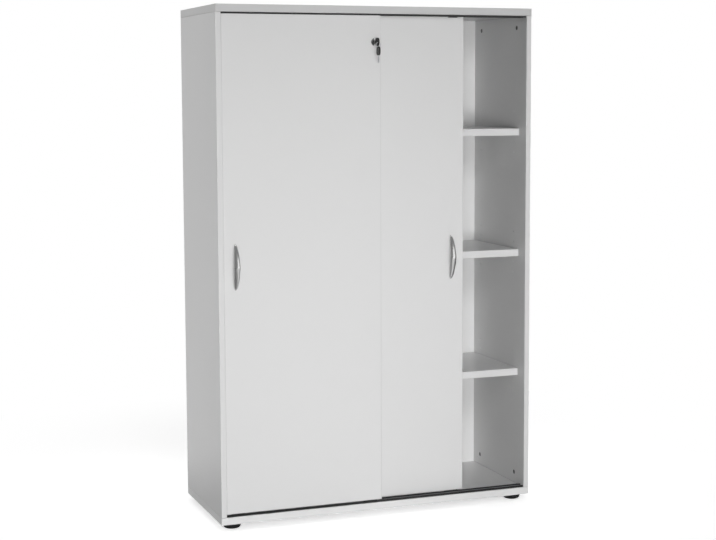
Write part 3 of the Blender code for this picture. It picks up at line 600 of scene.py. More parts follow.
# How dark the shade is that is painted along the side panels' joints with the floor and the ceiling
JOINT_SHADE_TONE = 0.6
# The pale colour of the highlight painted into the lower track's lane
LANE_HIGHLIGHT_COLOUR = (0.34, 0.34, 0.34, 1.0)
made_finishes = {}


def new_finish(kind, name=None, painted_light=1.0, roughness=None):
    """A new material of one finish, which may have a name, a tone of painted light and a roughness of
    its own.
    """
    plain_name, plain_roughness, metallic, *surface_looks = FINISH_LOOKS[kind]
    clouding, grain, grain_scale, relief, depth = surface_looks
    base = getattr(bpy.context.scene.cupboard_finishes, kind)
    material = bpy.data.materials.new(name or plain_name)
    material.use_nodes = True
    tree = material.node_tree
    surface = place_group(
        tree,
        "fine_surface",
        Colour=(*(painted_light * part for part in base), 1.0),
        Clouding=clouding,
        Grain=grain,
        Grain_Scale=grain_scale,
        Roughness=roughness or plain_roughness,
        Roughness_Spread=ROUGHNESS_SPREAD,
    ).outputs
    height = surface["Height"]
    bump = node_beside(height, "ShaderNodeBump", Strength=relief, Distance=depth, Height=height)
    fill(
        tree.nodes["Principled BSDF"],
        Metallic=metallic,
        Base_Color=surface["Colour"],
        Roughness=surface["Roughness"],
        Normal=bump.outputs["Normal"],
    )
    return material


def finish(kind):
    """The shared material of one finish, made when it is first asked for."""
    if kind not in made_finishes:
        made_finishes[kind] = new_finish(kind)
    return made_finishes[kind]


def base_colour(material):
    """The socket of a material's base colour, and what feeds it so far."""
    socket = material.node_tree.nodes["Principled BSDF"].inputs["Base Color"]
    return socket, socket.links[0].from_socket


def board_finish(name, low, high, banded, painted_light, band_painted_light, joint_shaded):
    """The melamine of one board, with the seams of its own edge bands, and light and shade painted in
    as the tone of its faces, of its edge bands and of its joints.
    """
    material = new_finish("board", name, painted_light)
    socket, shade = base_colour(material)
    masks = place_group(material.node_tree, "edge_band", Low=low, High=high, Banded=banded)
    if joint_shaded:
        fill(masks, Lower_Joint=FLOOR_Z, Upper_Joint=CEILING_Z)
    for mask, painted_level in (("Band", band_painted_light), ("Seam", SEAM_TONE), ("Joint", JOINT_SHADE_TONE)):
        shade = shade_colour(shade, remap(masks.outputs[mask], 0.0, 1.0, 1.0, painted_level))
    feed(shade, socket)
    return material


def rail_finish(name, low_z, high_z, line, half_width):
    """Black plastic with a pale highlight painted into one lane, from one height down to another."""
    material = new_finish("black_plastic", name, roughness=RAIL_ROUGHNESS)
    socket, shade = base_colour(material)
    rubbed = place_group(
        material.node_tree,
        "rubbed",
        From_Height=low_z,
        Full_Height=high_z,
        Middle_Line=line,
        Half_Width=half_width,
    )
    feed(mix(rubbed.outputs["Mask"], shade, LANE_HIGHLIGHT_COLOUR, "RGBA"), socket)
    return material


class CUPBOARD_OT_stage(Operator):
    """Makes the floor, the lights, the room and the camera"""

    bl_idname = "cupboard.stage"
    bl_label = "Stage"

    def execute(self, context):
        settings = context.scene.cupboard_stage
        make_floor(settings)
        make_lights(settings)
        make_room(context, settings)
        make_camera(context, settings)
        return {"FINISHED"}


# How far from its middle the floor keeps the shadow, and from where the camera sees it white
FLOOR_RADIUS = 14.0
FLOOR_SHADOW_REACH = 0.7
FLOOR_WHITE_REACH = 1.9
# What metal mirrors of the floor: bright in a wedge in front and from a line behind, else dimmed
FLOOR_GLOW = 0.9
FLOOR_GLOW_TURN = math.radians(18.0)
FLOOR_GLOW_HALF = math.radians(17.0)
FLOOR_GLOW_FADE = 0.1
FLOOR_BRIGHT_BEHIND = (0.2, 0.8)
FLOOR_DIMMED = 0.45


def ray_kinds(tree):
    """Whether a ray comes from the camera, and whether metal or glass has sent it on."""
    path = tree.nodes.new("ShaderNodeLightPath").outputs
    mirrored = math_node("MAXIMUM", path["Is Glossy Ray"], path["Is Transmission Ray"])
    return path["Is Camera Ray"], mirrored


def make_floor(settings):
    """A pale round floor that turns white for the camera away from the cupboard's shadow."""
    deselect_all()
    bpy.ops.mesh.primitive_circle_add(vertices=96, radius=FLOOR_RADIUS, fill_type="NGON")
    floor = named("floor")
    material = bpy.data.materials.new("pale_floor")
    material.use_nodes = True
    tree = material.node_tree
    grey = settings.floor_level
    shader = fill(
        tree.nodes["Principled BSDF"],
        Base_Color=(grey, grey, grey, 1.0),
        Roughness=0.9,
        Specular_IOR_Level=0.0,
    )
    camera_ray, mirrored_ray = ray_kinds(tree)
    place = object_place(tree)
    split = separate(place)
    behind = remap(split["Y"], *FLOOR_BRIGHT_BEHIND)
    way = math_node("ARCTAN2", split["X"], times(split["Y"], -1.0))
    off_wedge = math_node("ABSOLUTE", math_node("SUBTRACT", way, FLOOR_GLOW_TURN))
    glow = remap(off_wedge, FLOOR_GLOW_HALF, FLOOR_GLOW_HALF + FLOOR_GLOW_FADE, FLOOR_GLOW, 0.0)
    bright = times(mirrored_ray, math_node("MAXIMUM", behind, glow))
    seen = math_node("MAXIMUM", camera_ray, bright)
    reach = node_beside(place, "ShaderNodeVectorMath", place)
    reach.operation = "LENGTH"
    far = remap(reach.outputs["Value"], FLOOR_SHADOW_REACH, FLOOR_WHITE_REACH)
    far.node.interpolation_type = "SMOOTHSTEP"
    lift = node_beside(seen, "ShaderNodeEmission", Strength=times(seen, settings.floor_lift))
    lit = node_beside(seen, "ShaderNodeAddShader", shader.outputs[0], lift.outputs[0])
    white = tree.nodes.new("ShaderNodeEmission")
    shown = mix_shaders(times(seen, far), lit.outputs[0], white.outputs[0])
    dim = math_node("SUBTRACT", mirrored_ray, bright)
    surface = mix_shaders(times(dim, FLOOR_DIMMED), shown)
    feed(surface, tree.nodes["Material Output"].inputs["Surface"])
    floor.data.materials.append(material)


# Each softbox: its turn, which is 0 in front and grows to the right, its distance, its height, the
# height that it aims at, its width and height, the setting with its power, and its spread
SOFTBOXES = {
    "front_softbox": (-13.0, 4.6, 0.65, 0.2, (2.0, 0.9), "front_power", 90.0),
    "high_softbox": (-5.0, 3.6, 2.4, 0.4, (1.8, 0.9), "high_power", 110.0),
    "mirrored_card": (27.0, 4.5, 1.2, 0.8, (2.6, 3.0), "card_power", 180.0),
    "rear_left_softbox": (-124.7, 3.16, 1.0, 0.8, (1.6, 1.8), "rear_power", 180.0),
    "rear_right_softbox": (112.0, 3.16, 1.0, 0.8, (1.6, 1.8), "rear_power", 180.0),
    "overhead_softbox": (0.0, 0.0, 2.7, 0.0, (1.4, 0.7), "overhead_power", 40.0),
}


def make_lights(settings):
    """The softboxes round the cupboard; metal mirrors the card in place of the two in front."""
    for name, (degrees, distance, height, aim_height, size, setting, spread) in SOFTBOXES.items():
        way = math.radians(degrees)
        place = Vector((distance * math.sin(way), -distance * math.cos(way), height))
        deselect_all()
        bpy.ops.object.light_add(type="AREA", location=place)
        light = bpy.context.object
        light.name = name
        light.data.shape = "RECTANGLE"
        light.data.size, light.data.size_y = size
        light.data.energy = getattr(settings, setting)
        light.data.spread = math.radians(spread)
        aim = Vector((0.0, 0.0, aim_height)) - place
        light.rotation_euler = aim.to_track_quat("-Z", "Y").to_euler()
        light.visible_glossy = name not in ("front_softbox", "high_softbox")
        light.visible_diffuse = name != "mirrored_card"


# How far towards the rear a mirrored ray has to go to find the room dim, and white
MIRRORED_ROOM_REACH = (0.1, 0.5)


def make_room(context, settings):
    """A room that is bright behind the cupboard and above it, and a white backdrop."""
    world = bpy.data.worlds.new("pale_room")
    context.scene.world = world
    world.use_nodes = True
    tree = world.node_tree
    split = separate(tree.nodes.new("ShaderNodeTexCoord").outputs["Generated"])
    behind = math_node("MAXIMUM", split["Y"], 0.0)
    above = math_node("MAXIMUM", split["Z"], 0.0)
    room_level = math_node(
        "ADD",
        times(behind, settings.room_behind),
        times(above, settings.room_above),
    )
    camera_ray, mirrored_ray = ray_kinds(tree)
    mirrored = remap(split["Y"], *MIRRORED_ROOM_REACH, settings.room_mirrored, 1.0)
    strength = mix(camera_ray, mix(mirrored_ray, room_level, mirrored), 1.0)
    fill(tree.nodes["Background"], Color=(1.0, 1.0, 1.0, 1.0), Strength=strength)


SENSOR_WIDTH = 36.0


def make_camera(context, settings):
    deselect_all()
    bpy.ops.object.camera_add(location=settings.camera_place)
    camera = context.object
    camera.name = "view_camera"
    aim = (
        Matrix.Rotation(-settings.camera_yaw, 3, "Z")
        @ Matrix.Rotation(math.pi / 2 + settings.camera_pitch, 3, "X")
        @ Matrix.Rotation(settings.camera_roll, 3, "Z")
    )
    camera.rotation_euler = aim.to_euler()
    camera.data.sensor_fit = "HORIZONTAL"
    camera.data.sensor_width = SENSOR_WIDTH
    camera.data.lens = settings.lens
    camera.data.shift_y = settings.shift_up
    context.scene.camera = camera
    context.scene.view_settings.view_transform = "Standard"


class CUPBOARD_OT_frame_finishes(Operator):
    """Gives every piece of the frame its finish"""

    bl_idname = "cupboard.frame_finishes"
    bl_label = "Frame Finishes"

    def execute(self, context):
        for entry in frame["record"]["subparts"]:
            give_material(frame["nodes"][entry["node"]], finish(entry["material_slot"]))
        return {"FINISHED"}


class CUPBOARD_PG_boards(PropertyGroup):
    edge: length("Edge", "Width of the bevel along each board's edges", 0.0006)
    rib_rounding: length("Rib Rounding", "Radius along the tops of the ribs", 0.0005)


# Each board: its new name, the body it moves with, the axes that carry edge bands, and the tones of
# its faces and of its bands. These tones are painted light and shade: above one they brighten the
# inside that the lights leave too dark, and band tones below one darken the edges
BOARDS = {
    "left_side_panel": ("left_side", "carcass", (0, 1, 0), 1.0, 0.985),
    "right_side_panel": ("right_side", "carcass", (0, 1, 0), 1.0, 0.985),
    "top_panel": ("top_board", "carcass", (1, 1, 0), 1.0, 0.84),
    "bottom_panel": ("bottom_board", "carcass", (1, 1, 0), 1.15, 0.94),
    "back_panel": ("back_board", "carcass", (0, 0, 0), 1.2, 1.0),
    "lower_shelf": ("lower_shelf_board", "carcass", (0, 1, 0), 1.2, 0.82),
    "middle_shelf": ("middle_shelf_board", "carcass", (0, 1, 0), 1.2, 0.82),
    "upper_shelf": ("upper_shelf_board", "carcass", (0, 1, 0), 1.2, 0.82),
    "left_door_panel": ("left_door_board", "left_door", (1, 0, 1), 1.0, 0.985),
    "right_door_panel": ("right_door_board", "right_door", (1, 0, 1), 1.0, 0.985),
}
# The side panels get painted shade where they meet the floor and the ceiling
JOINT_SHADED_BOARDS = ("left_side_panel", "right_side_panel")
EDGE_REACH = 0.00002


def on_box_edge(a, b, low, high):
    """Whether an edge runs along one of the twelve edges of a box."""
    planes = [(n, corner[n]) for n in range(3) for corner in (low, high)]
    near_both = [max(abs(a[n] - plane), abs(b[n] - plane)) < EDGE_REACH for n, plane in planes]
    return sum(near_both) == 2


class CUPBOARD_OT_boards(Operator):
    """Merges each board from the frame's triangles and bevels its square edges finely"""

    bl_idname = "cupboard.boards"
    bl_label = "Boards"

    def execute(self, context):
        width = context.scene.cupboard_boards.edge
        for node, (name, body, banded, painted_light, band_painted_light) in BOARDS.items():
            low, high = node_box(node)
            board = copy_piece(frame["nodes"][node], name)
            start_edit(board)
            pick_all()
            bpy.ops.mesh.remove_doubles(threshold=0.00001)
            bpy.ops.mesh.dissolve_limited(angle_limit=math.radians(0.5))
            pick_edges(board, lambda a, b: on_box_edge(a, b, low, high))
            bevel_edges(width, 2)
            leave_edit()
            look = board_finish(name, low, high, banded, painted_light, band_painted_light, node in JOINT_SHADED_BOARDS)
            settle(board, body, "board", [node], look)
        return {"FINISHED"}


RAIL_RIB = 0.0016
RAIL_MIDDLE_RIB = 0.0032
RAIL_BASE = 0.0015
RAIL_SPINE_WIDTH = 0.0028
RAIL_SPINE_DEPTH = 0.008
# The heights over a lane's floor where the painted highlight begins and where it is full, and how
# far the highlighted stripe goes past the lane's floor
LANE_HIGHLIGHT_FROM = 0.0026
LANE_HIGHLIGHT_FULL = 0.0012
LANE_HIGHLIGHT_BESIDE = 0.0004
FLANGE_THICKNESS = 0.0012
FLANGE_DROP = 0.0035
FLANGE_RISE = 0.0008


def make_rail(name, node, up, rear_rib, rounding):
    """A track whose ribs are drawn up out of a flat strip, with a spine in the board's groove."""
    low, high = node_box(node)
    face = high.z - RAIL_SPINE_DEPTH if up < 0 else low.z + RAIL_SPINE_DEPTH
    top = low.z if up < 0 else high.z
    base = face + up * RAIL_BASE
    rail = add_block(name, (low.x, low.y, min(face, base)), (high.x, high.y, max(face, base)))
    centre = (low.y + high.y) / 2
    half_rib = RAIL_MIDDLE_RIB / 2
    half_spine = RAIL_SPINE_WIDTH / 2
    front_rib = (low.y, low.y + RAIL_RIB)
    middle_rib = (centre - half_rib, centre + half_rib)
    last_rib = (high.y - RAIL_RIB, high.y)
    spine = (centre - half_spine, centre + half_spine)
    start_edit(rail)
    for y in (front_rib[1], middle_rib[0], *spine, middle_rib[1], last_rib[0]):
        pick_all()
        bpy.ops.mesh.bisect(plane_co=(0.0, y, 0.0), plane_no=(0.0, 1.0, 0.0))
    ribs = [front_rib, middle_rib] + [last_rib] * rear_rib
    for start, end in ribs:
        pick_faces(
            rail,
            lambda point, normal: normal.z * up > 0.9
            and start < point.y < end
            and abs(point.z - base) < GAP,
        )
        draw_out(0.0, 0.0, top - base)
    pick_faces(rail, lambda point, normal: normal.z * up < -0.9 and spine[0] < point.y < spine[1])
    draw_out(0.0, 0.0, -up * RAIL_SPINE_DEPTH)
    for start, end in ribs:
        pick_edges(
            rail,
            lambda a, b: max(abs(a.z - top), abs(b.z - top)) < GAP / 3
            and min(abs(a.y - start), abs(a.y - end)) < GAP / 3
            and abs(a.x - b.x) > 0.1,
        )
        bevel_edges(rounding, 3)
    leave_edit()
    smooth(rail, 35.0)
    return rail


class CUPBOARD_OT_rails(Operator):
    """Models the lower and the upper track, and the flange on the rear door's guide"""

    bl_idname = "cupboard.rails"
    bl_label = "Tracks"

    def execute(self, context):
        rounding = context.scene.cupboard_boards.rib_rounding
        low, high = node_box("bottom_track")
        lane_low = low.y + RAIL_RIB
        lane_high = (low.y + high.y - RAIL_MIDDLE_RIB) / 2
        lane_floor = FLOOR_Z + RAIL_BASE
        # The lower track's lane gets a painted pale highlight
        rubbed = rail_finish(
            "lower_rail",
            lane_floor + LANE_HIGHLIGHT_FROM,
            lane_floor + LANE_HIGHLIGHT_FULL,
            (lane_low + lane_high) / 2,
            (lane_high - lane_low) / 2 + LANE_HIGHLIGHT_BESIDE,
        )
        lower = make_rail("lower_rail", "bottom_track", 1, False, rounding)
        settle(lower, "carcass", "black_plastic", ["bottom_track"], rubbed)
        upper = make_rail("upper_rail", "top_track", -1, True, rounding)
        settle(upper, "carcass", "black_plastic", ["top_track"])
        rear = RIGHT_DOOR_LOW.y
        top = RIGHT_DOOR_HIGH.z
        flange = add_block(
            "guide_flange",
            (GUIDE_LOW.x, rear - FLANGE_THICKNESS, top - FLANGE_DROP),
            (GUIDE_HIGH.x, rear - GAP / 3, top + FLANGE_RISE),
        )
        round_off(flange, FLANGE_THICKNESS / 3, 40.0)
        smooth(flange, 40.0)
        settle(flange, "right_door", "black_plastic")
        return {"FINISHED"}


class CUPBOARD_PG_handle(PropertyGroup):
    spacing: length("Screw Spacing", "Distance between the two screws", 0.128)
    projection: length("Projection", "How far the bow stands out from the door", 0.027)
    middle_width: length("Middle Width", "Width of its middle", 0.0165)
    middle_thickness: length("Middle Thickness", "Thickness of its middle", 0.0055)
    end_width: length("End Width", "Width where it meets the door", 0.0058)
    end_thickness: length("End Thickness", "Thickness where it meets the door", 0.007)
    squareness: number("Squareness", "2 for an ellipse, less for leaner ends", 1.5, min=1.1)


HANDLE_STATIONS = 48
HANDLE_SIDES = 32
SCREW_BORE_RADIUS = 0.0023
SCREW_BORE_DEPTH = 0.0037


def handle_path(settings):
    """(y, z) points of the bow in front of the left door."""
    reach = settings.projection - settings.middle_thickness / 2
    exponent = 2 / settings.squareness
    points = []
    for n in range(HANDLE_STATIONS + 1):
        angle = math.pi * n / HANDLE_STATIONS
        rise = abs(math.sin(angle)) ** exponent
        along = math.copysign(abs(math.cos(angle)) ** exponent, math.cos(angle))
        points.append(
            (DOOR_FRONT_Y - GAP - reach * rise, LEFT_HANDLE_MIDDLE.z - settings.spacing / 2 * along)
        )
    return points


class CUPBOARD_OT_handles(Operator):
    """Models one satin bow handle and copies it to the other door"""

    bl_idname = "cupboard.handles"
    bl_label = "Handles"

    def execute(self, context):
        settings = context.scene.cupboard_handle
        x = LEFT_HANDLE_MIDDLE.x
        path = handle_path(settings)
        deselect_all()
        rings = []
        for n, (y, z) in enumerate(path):
            before = path[max(n - 1, 0)]
            after = path[min(n + 1, HANDLE_STATIONS)]
            turn = math.atan2(before[0] - after[0], after[1] - before[1])
            if n in (0, HANDLE_STATIONS):
                turn = math.copysign(math.pi / 2, turn)
            rise = abs(math.sin(math.pi * n / HANDLE_STATIONS))
            width = settings.end_width + (settings.middle_width - settings.end_width) * rise
            thinning = settings.end_thickness - settings.middle_thickness
            thickness = settings.end_thickness - thinning * rise
            scale = (width / 2, thickness / 2, 1.0)
            add_ring((x, y, z), 1.0, (turn, 0.0, 0.0), scale, HANDLE_SIDES)
            rings.append(bpy.context.object)
        for ring in rings:
            ring.select_set(True)
        bpy.context.view_layer.objects.active = rings[0]
        bpy.ops.object.join()
        handle = named("left_bow_handle")
        bpy.ops.object.mode_set(mode="EDIT")
        bpy.ops.mesh.select_mode(type="EDGE")
        pick_all()
        bpy.ops.mesh.bridge_edge_loops(type="SINGLE")
        fill_open_ends()
        leave_edit()
        depth = SCREW_BORE_DEPTH + GAP
        for z in (path[0][1], path[-1][1]):
            centre = (x, DOOR_FRONT_Y - SCREW_BORE_DEPTH / 2, z)
            combine(handle, add_disc("screw_bore", centre, "Y", SCREW_BORE_RADIUS, depth, 24))
        smooth(handle, 50.0)
        twin = copy_piece(handle, "right_bow_handle", RIGHT_HANDLE_MIDDLE - LEFT_HANDLE_MIDDLE)
        settle(handle, "left_door", "satin_nickel", ["left_handle"])
        settle(twin, "right_door", "satin_nickel", ["right_handle"])
        return {"FINISHED"}


class CUPBOARD_PG_lock(PropertyGroup):
    rosette_radius: length("Rosette Radius", "Radius of the ring on the door", 0.012)
    rosette_thickness: length("Rosette Thickness", "How far it stands out from the door", 0.0025)
    barrel_radius: length("Barrel Radius", "Radius of the barrel in the door", 0.0087)
    plug_radius: length("Plug Radius", "Radius of the plug that the key turns", 0.006)


ROSETTE_LIP = 0.0011
# The groove in the rosette's face: how far in from the rim, and how deep
ROSETTE_GROOVE = ((0.0021, 0.0), (0.0025, 0.0003), (0.0034, 0.0003), (0.0038, 0.0))
LOCK_CHAMFER = 0.0003
TANG_SIDE = 0.005
TANG_BEHIND_DOOR = 0.0026
KEYWAY_HALF_WIDTH = 0.0013
KEYWAY_HALF_HEIGHT = 0.0038
KEYWAY_DEPTH = 0.0163


def quarter_arc(radius, along, width, height, steps):
    """(radius, along) points of a quarter of an ellipse, from outwards to along, for a profile."""
    angles = [math.pi / 2 * n / steps for n in range(steps + 1)]
    return [(radius + width * math.cos(a), along + height * math.sin(a)) for a in angles]


class CUPBOARD_OT_lock(Operator):
    """Turns the lock's rosette with its barrel, and the plug with its keyway"""

    bl_idname = "cupboard.lock"
    bl_label = "Lock"

    def execute(self, context):
        settings = context.scene.cupboard_lock
        centre = (LOCK_X, DOOR_FRONT_Y, LOCK_Z)
        door = DOOR_REAR_Y - DOOR_FRONT_Y
        barrel = settings.barrel_radius
        plug_radius = settings.plug_radius
        bore = plug_radius + GAP
        outer = settings.rosette_radius
        face = -settings.rosette_thickness
        lip = ROSETTE_LIP
        profile = [(bore, door), (barrel, door), (barrel, -GAP), (outer, -GAP)]
        profile += quarter_arc(outer - lip, face + lip, lip, -lip, 6)
        profile += [(outer - inwards, face + depth) for inwards, depth in ROSETTE_GROOVE]
        profile += [(bore + LOCK_CHAMFER, face), (bore, face + LOCK_CHAMFER)]
        rosette = turned_piece("lock_rosette", centre, "Y", profile, 64, closed=True)
        smooth(rosette, 30.0)
        settle(rosette, "left_door", "chrome", ["lock_housing"])
        profile = [(plug_radius, door), (plug_radius, face + LOCK_CHAMFER)]
        profile += [(plug_radius - LOCK_CHAMFER, face)]
        plug = turned_piece("lock_cylinder", centre, "Y", profile)
        half = TANG_SIDE / 2
        tang = add_block(
            "tang",
            (LOCK_X - half, DOOR_REAR_Y - half, LOCK_Z - half),
            (LOCK_X + half, DOOR_REAR_Y + TANG_BEHIND_DOOR, LOCK_Z + half),
        )
        combine(plug, tang, "UNION")
        front = DOOR_FRONT_Y + face
        keyway = add_block(
            "keyway",
            (LOCK_X - KEYWAY_HALF_WIDTH, front - GAP, LOCK_Z - KEYWAY_HALF_HEIGHT),
            (LOCK_X + KEYWAY_HALF_WIDTH, front + KEYWAY_DEPTH, LOCK_Z + KEYWAY_HALF_HEIGHT),
        )
        combine(plug, keyway)
        smooth(plug, 30.0)
        settle(plug, "lock_core", "chrome", ["lock_plug"])
        return {"FINISHED"}


class CUPBOARD_PG_keys(PropertyGroup):
    head_length: length("Head Length", "Length of the key's head", 0.026)
    head_width: length("Head Width", "Width of the key's head", 0.024)
    head_thickness: length("Head Thickness", "Thickness of the key's head", 0.004)
    corner_radius: length("Corner Radius", "Radius of the head's corners", 0.0095)
    head_rounding: length("Head Rounding", "Radius of the head's rims", 0.0008)
    blade_width: length("Blade Width", "Width of the key's blade", 0.007)
    blade_thickness: length("Blade Thickness", "Thickness of the key's blade", 0.002)
    blade_length: length("Blade Length", "Length of the blade in front of the head", 0.0215)


FRAME_HOLE_FROM_END = 0.005
RING_HOLE_RADIUS = 0.0021
RING_HOLE_FROM_END = 0.0035
BLADE_IN_HEAD = 0.006
HEAD_RECESS = 0.0004
HEAD_RIM = 0.0022
BLADE_TIP_CHAMFER = 0.0022
# The blade's grooves: how far from its middle, and how deep
BLADE_GROOVES = ((0.001, 0.0005), (-0.0014, 0.0004))
GROOVE_HALF_WIDTH = 0.0005
GROOVE_FROM_HEAD = 0.0025
# The key's cuts: how far below the head, and how deep; a cube that stands on an edge makes each
BITTINGS = ((0.004, 0.0012), (0.0075, 0.002), (0.011, 0.0008), (0.0145, 0.0016), (0.018, 0.0006))
BITTING_CUBE = 0.003
BITTING_REACH = 0.0021


def block_round(name, hole, half_x, half_y, low_z, high_z):
    """A block whose middle line stands at a key's ring hole."""
    return add_block(
        name, (hole.x - half_x, hole.y - half_y, low_z), (hole.x + half_x, hole.y + half_y, high_z)
    )


def make_key_head(settings, hole, shoulder):
    """The rounded head of a key that hangs down from its ring hole to its shoulder."""
    half_x = settings.head_thickness / 2
    top = hole.z + RING_HOLE_FROM_END
    head = block_round("spare_key_bow", hole, half_x, settings.head_width / 2, shoulder, top)
    start_edit(head)
    pick_edges(head, lambda a, b: abs(a.x - b.x) > half_x)
    bevel_edges(settings.corner_radius, 12)
    for side in (-1.0, 1.0):
        pick_faces(head, lambda point, normal: normal.x * side > 0.9)
        bpy.ops.mesh.inset(thickness=HEAD_RIM, depth=0.0)
        bpy.ops.mesh.inset(thickness=HEAD_RECESS, depth=-HEAD_RECESS)
    leave_edit()
    depth = 3 * settings.head_thickness
    combine(head, add_disc("ring_hole", hole, "X", RING_HOLE_RADIUS, depth, 32))
    round_off(head, settings.head_rounding, 60.0)
    slot_x = settings.blade_thickness / 2 + GAP
    slot_y = settings.blade_width / 2 + GAP
    low = shoulder - BLADE_IN_HEAD
    high = shoulder + BLADE_IN_HEAD + GAP
    combine(head, block_round("blade_slot", hole, slot_x, slot_y, low, high))
    smooth(head, 30.0)
    return head


def make_key_blade(settings, hole, shoulder):
    """The blade below that head, with its grooves and its cuts."""
    half_x = settings.blade_thickness / 2
    half_y = settings.blade_width / 2
    tip = shoulder - settings.blade_length
    blade = block_round("spare_key_shank", hole, half_x, half_y, tip, shoulder + BLADE_IN_HEAD)
    start_edit(blade)
    pick_edges(blade, lambda a, b: max(a.z, b.z) < tip + GAP and abs(a.x - b.x) > half_x)
    bevel_edges(BLADE_TIP_CHAMFER, 3)
    leave_edit()
    for side in (-1.0, 1.0):
        for offset, depth in BLADE_GROOVES:
            x = hole.x + side * half_x
            y = hole.y + offset
            groove = add_block(
                "groove",
                (x - depth, y - GROOVE_HALF_WIDTH, tip - GAP),
                (x + depth, y + GROOVE_HALF_WIDTH, shoulder - GROOVE_FROM_HEAD),
            )
            combine(blade, groove)
    for below, depth in BITTINGS:
        deselect_all()
        bpy.ops.mesh.primitive_cube_add(
            size=BITTING_CUBE,
            location=(hole.x, hole.y - half_y - BITTING_REACH + depth, shoulder - below),
            rotation=(math.pi / 4, 0.0, 0.0),
        )
        combine(blade, named("bitting"))
    smooth(blade, 20.0)
    return blade


def two_lobes(lobe):
    """(out, along) points round a section of two coils that lie side by side."""
    points = []
    for start, steps, side in (
        (-90.0, range(9), -1),
        (-70.0, range(9), 1),
        (90.0, range(1, 8), 1),
        (110.0, range(1, 8), -1),
    ):
        for n in steps:
            angle = math.radians(start + 160.0 * n / 8)
            points.append((math.cos(angle), lobe * side + lobe * math.sin(angle)))
    return points


class CUPBOARD_OT_keys(Operator):
    """Models the spare key, copies it for the key in the lock, and hangs both on a ring"""

    bl_idname = "cupboard.keys"
    bl_label = "Keys and Ring"

    def execute(self, context):
        settings = context.scene.cupboard_keys
        ring_centre = middle(RING_LOW, RING_HIGH)
        spare_hole = Vector((LOCK_X, ring_centre.y, SPARE_TOP_Z - FRAME_HOLE_FROM_END))
        lock_hole = Vector((LOCK_X, ring_centre.y, LOCK_Z))
        shoulder = spare_hole.z + RING_HOLE_FROM_END - settings.head_length
        head = make_key_head(settings, spare_hole, shoulder)
        blade = make_key_blade(settings, spare_hole, shoulder)
        for piece, name, slot, node in (
            (head, "lock_key_bow", "black_plastic", "key_head"),
            (blade, "lock_key_shank", "bright_steel", "key_blade"),
        ):
            # The ring hole comes to the origin, and the twin is turned about it to point into the lock
            twin = copy_piece(piece, name, -spare_hole)
            twin.rotation_euler = (math.pi / 2, 0.0, 0.0)
            twin.location = lock_hole
            apply_place()
            settle(twin, "key", slot, [node])
            settle(piece, "spare_key", slot, ["spare_" + node])
        wire = (RING_HIGH.y - RING_LOW.y) / 2
        middle_radius = (RING_HIGH.x - RING_LOW.x) / 2 - wire
        profile = [(middle_radius + wire * out, along) for out, along in two_lobes(wire / 2)]
        ring = turned_piece("split_ring", ring_centre, "Y", profile, 96, closed=True)
        smooth(ring, 50.0)
        settle(ring, "ring", "bright_steel", ["key_ring"])
        return {"FINISHED"}


FOOT_SPIGOT = 0.004
FOOT_FLAT = 0.019
FOOT_RIM = 0.0065
FOOT_EDGE = 0.0004
FOOT_CHAMFER = 0.0005
FOOT_HOLLOW = 0.002


class CUPBOARD_OT_feet(Operator):
    """Turns one domed foot and copies it to the other corners"""

    bl_idname = "cupboard.feet"
    bl_label = "Feet"

    def execute(self, context):
        low, high = node_box("front_left_foot")
        centre = middle(low, high)
        centre.z = 0.0
        radius = (high.x - low.x) / 2
        top = BOTTOM_LOW.z - GAP
        dome = top - FOOT_RIM
        profile = [(FOOT_SPIGOT - FOOT_CHAMFER, high.z), (FOOT_SPIGOT, high.z - FOOT_CHAMFER)]
        profile += [(FOOT_SPIGOT, top), (radius - FOOT_EDGE, top), (radius, top - FOOT_EDGE)]
        profile += quarter_arc(FOOT_FLAT, dome, radius - FOOT_FLAT, -dome, 16)
        profile += [(FOOT_FLAT - 2 * FOOT_CHAMFER, 0.0)]
        profile += [(FOOT_FLAT - 3 * FOOT_CHAMFER, FOOT_CHAMFER), (FOOT_HOLLOW, FOOT_CHAMFER)]
        foot = turned_piece("front_left_glide", centre, "Z", profile, 64)
        smooth(foot, 40.0)
        for corner in ("front_right", "rear_left", "rear_right"):
            move = middle(*node_box(f"{corner}_foot")) - centre
            move.z = 0.0
            twin = copy_piece(foot, f"{corner}_glide", move)
            settle(twin, "carcass", "black_plastic", [f"{corner}_foot"])
        settle(foot, "carcass", "black_plastic", ["front_left_foot"])
        return {"FINISHED"}


CAM_RADIUS = 0.0071
CAM_DEPTH = 0.0118
CAM_IN_POCKET = 0.0004
# The cam's face: how far in from its rim, and how deep
CAM_FACE = ((0.0, 0.001), (0.0004, 0.0003), (0.0012, 0.0), (0.0022, 0.0), (0.0026, 0.0005))
CAM_CROSS_ARM = (0.004, 0.0011, 0.0062)
CAM_CROSS_DEPTH = 0.001
CAM_CROSS_TURN = math.radians(20.0)
CAM_FROM_END = 0.034
CAM_ROWS = {"front": 0.07, "rear": 0.326}


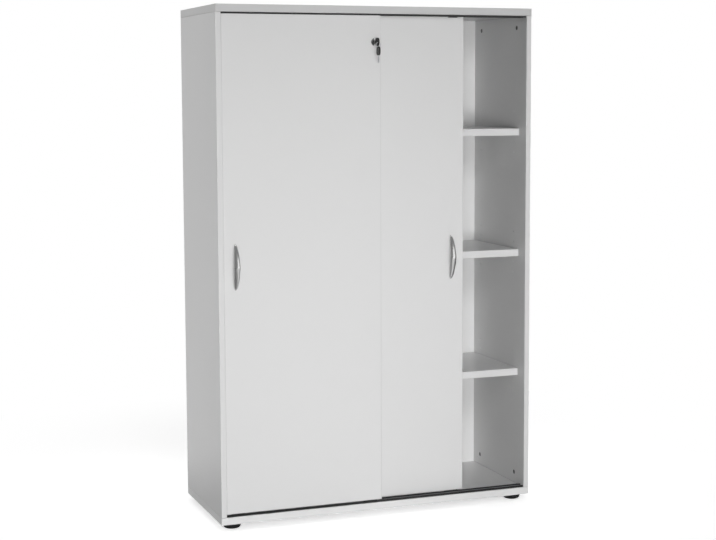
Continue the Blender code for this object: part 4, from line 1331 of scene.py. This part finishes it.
class CUPBOARD_OT_cam_fittings(Operator):
    """Models one cam fitting with its cross recess and copies it to each pocket in the sides"""

    bl_idname = "cupboard.cam_fittings"
    bl_label = "Cam Fittings"

    def execute(self, context):
        levels = {"low": FLOOR_Z + CAM_FROM_END, "high": CEILING_Z - CAM_FROM_END}
        z = levels["low"]
        y = FRONT_Y + CAM_ROWS["front"]
        face = SIDE_INNER_X + CAM_IN_POCKET
        profile = [(CAM_RADIUS, CAM_DEPTH)]
        profile += [(CAM_RADIUS - inwards, depth) for inwards, depth in CAM_FACE]
        cam = turned_piece("right_low_front_cam", (face, y, z), "X", profile, 40)
        for turn in (0.0, math.pi / 2):
            deselect_all()
            bpy.ops.mesh.primitive_cube_add(
                size=1.0,
                location=(face + CAM_CROSS_DEPTH, y, z),
                rotation=(turn + CAM_CROSS_TURN, 0.0, 0.0),
                scale=CAM_CROSS_ARM,
            )
            combine(cam, named("cross_arm"))
        smooth(cam, 30.0)
        cams = [cam]
        for side, way in (("right", 1.0), ("left", -1.0)):
            for level, height in levels.items():
                for row, from_front in CAM_ROWS.items():
                    name = f"{side}_{level}_{row}_cam"
                    move = (0.0, FRONT_Y + from_front - way * y, height - z)
                    turn = (0.0, 0.0, math.pi if way < 0 else 0.0)
                    if name != cam.name:
                        cams.append(copy_piece(cam, name, move, turn))
        # The dark zinc paints the shade of the cams' pockets
        for piece in cams:
            settle(piece, "carcass", "bright_steel", material=finish("zinc"))
        return {"FINISHED"}


class CUPBOARD_PT_panel(Panel):
    bl_idname = "CUPBOARD_PT_panel"
    bl_label = "Filing Cupboard"
    bl_space_type = "VIEW_3D"
    bl_region_type = "UI"
    bl_category = "Cupboard"

    def draw(self, context):
        for operator in OPERATORS:
            self.layout.operator(operator.bl_idname)


OPERATORS = (
    CUPBOARD_OT_stage,
    CUPBOARD_OT_frame_finishes,
    CUPBOARD_OT_boards,
    CUPBOARD_OT_rails,
    CUPBOARD_OT_handles,
    CUPBOARD_OT_lock,
    CUPBOARD_OT_keys,
    CUPBOARD_OT_feet,
    CUPBOARD_OT_cam_fittings,
)
SETTINGS = {
    "cupboard_finishes": CUPBOARD_PG_finishes,
    "cupboard_stage": CUPBOARD_PG_stage,
    "cupboard_boards": CUPBOARD_PG_boards,
    "cupboard_handle": CUPBOARD_PG_handle,
    "cupboard_lock": CUPBOARD_PG_lock,
    "cupboard_keys": CUPBOARD_PG_keys,
}
CLASSES = (*SETTINGS.values(), *OPERATORS, CUPBOARD_PT_panel)


def register():
    for item in CLASSES:
        bpy.utils.register_class(item)
    for name, group in SETTINGS.items():
        setattr(bpy.types.Scene, name, bpy.props.PointerProperty(type=group))


def unregister():
    for name in SETTINGS:
        delattr(bpy.types.Scene, name)
    for item in reversed(CLASSES):
        bpy.utils.unregister_class(item)


def main():
    register()
    for operator in OPERATORS:
        group, name = operator.bl_idname.split(".")
        getattr(getattr(bpy.ops, group), name)()


if __name__ == "__main__":
    main()
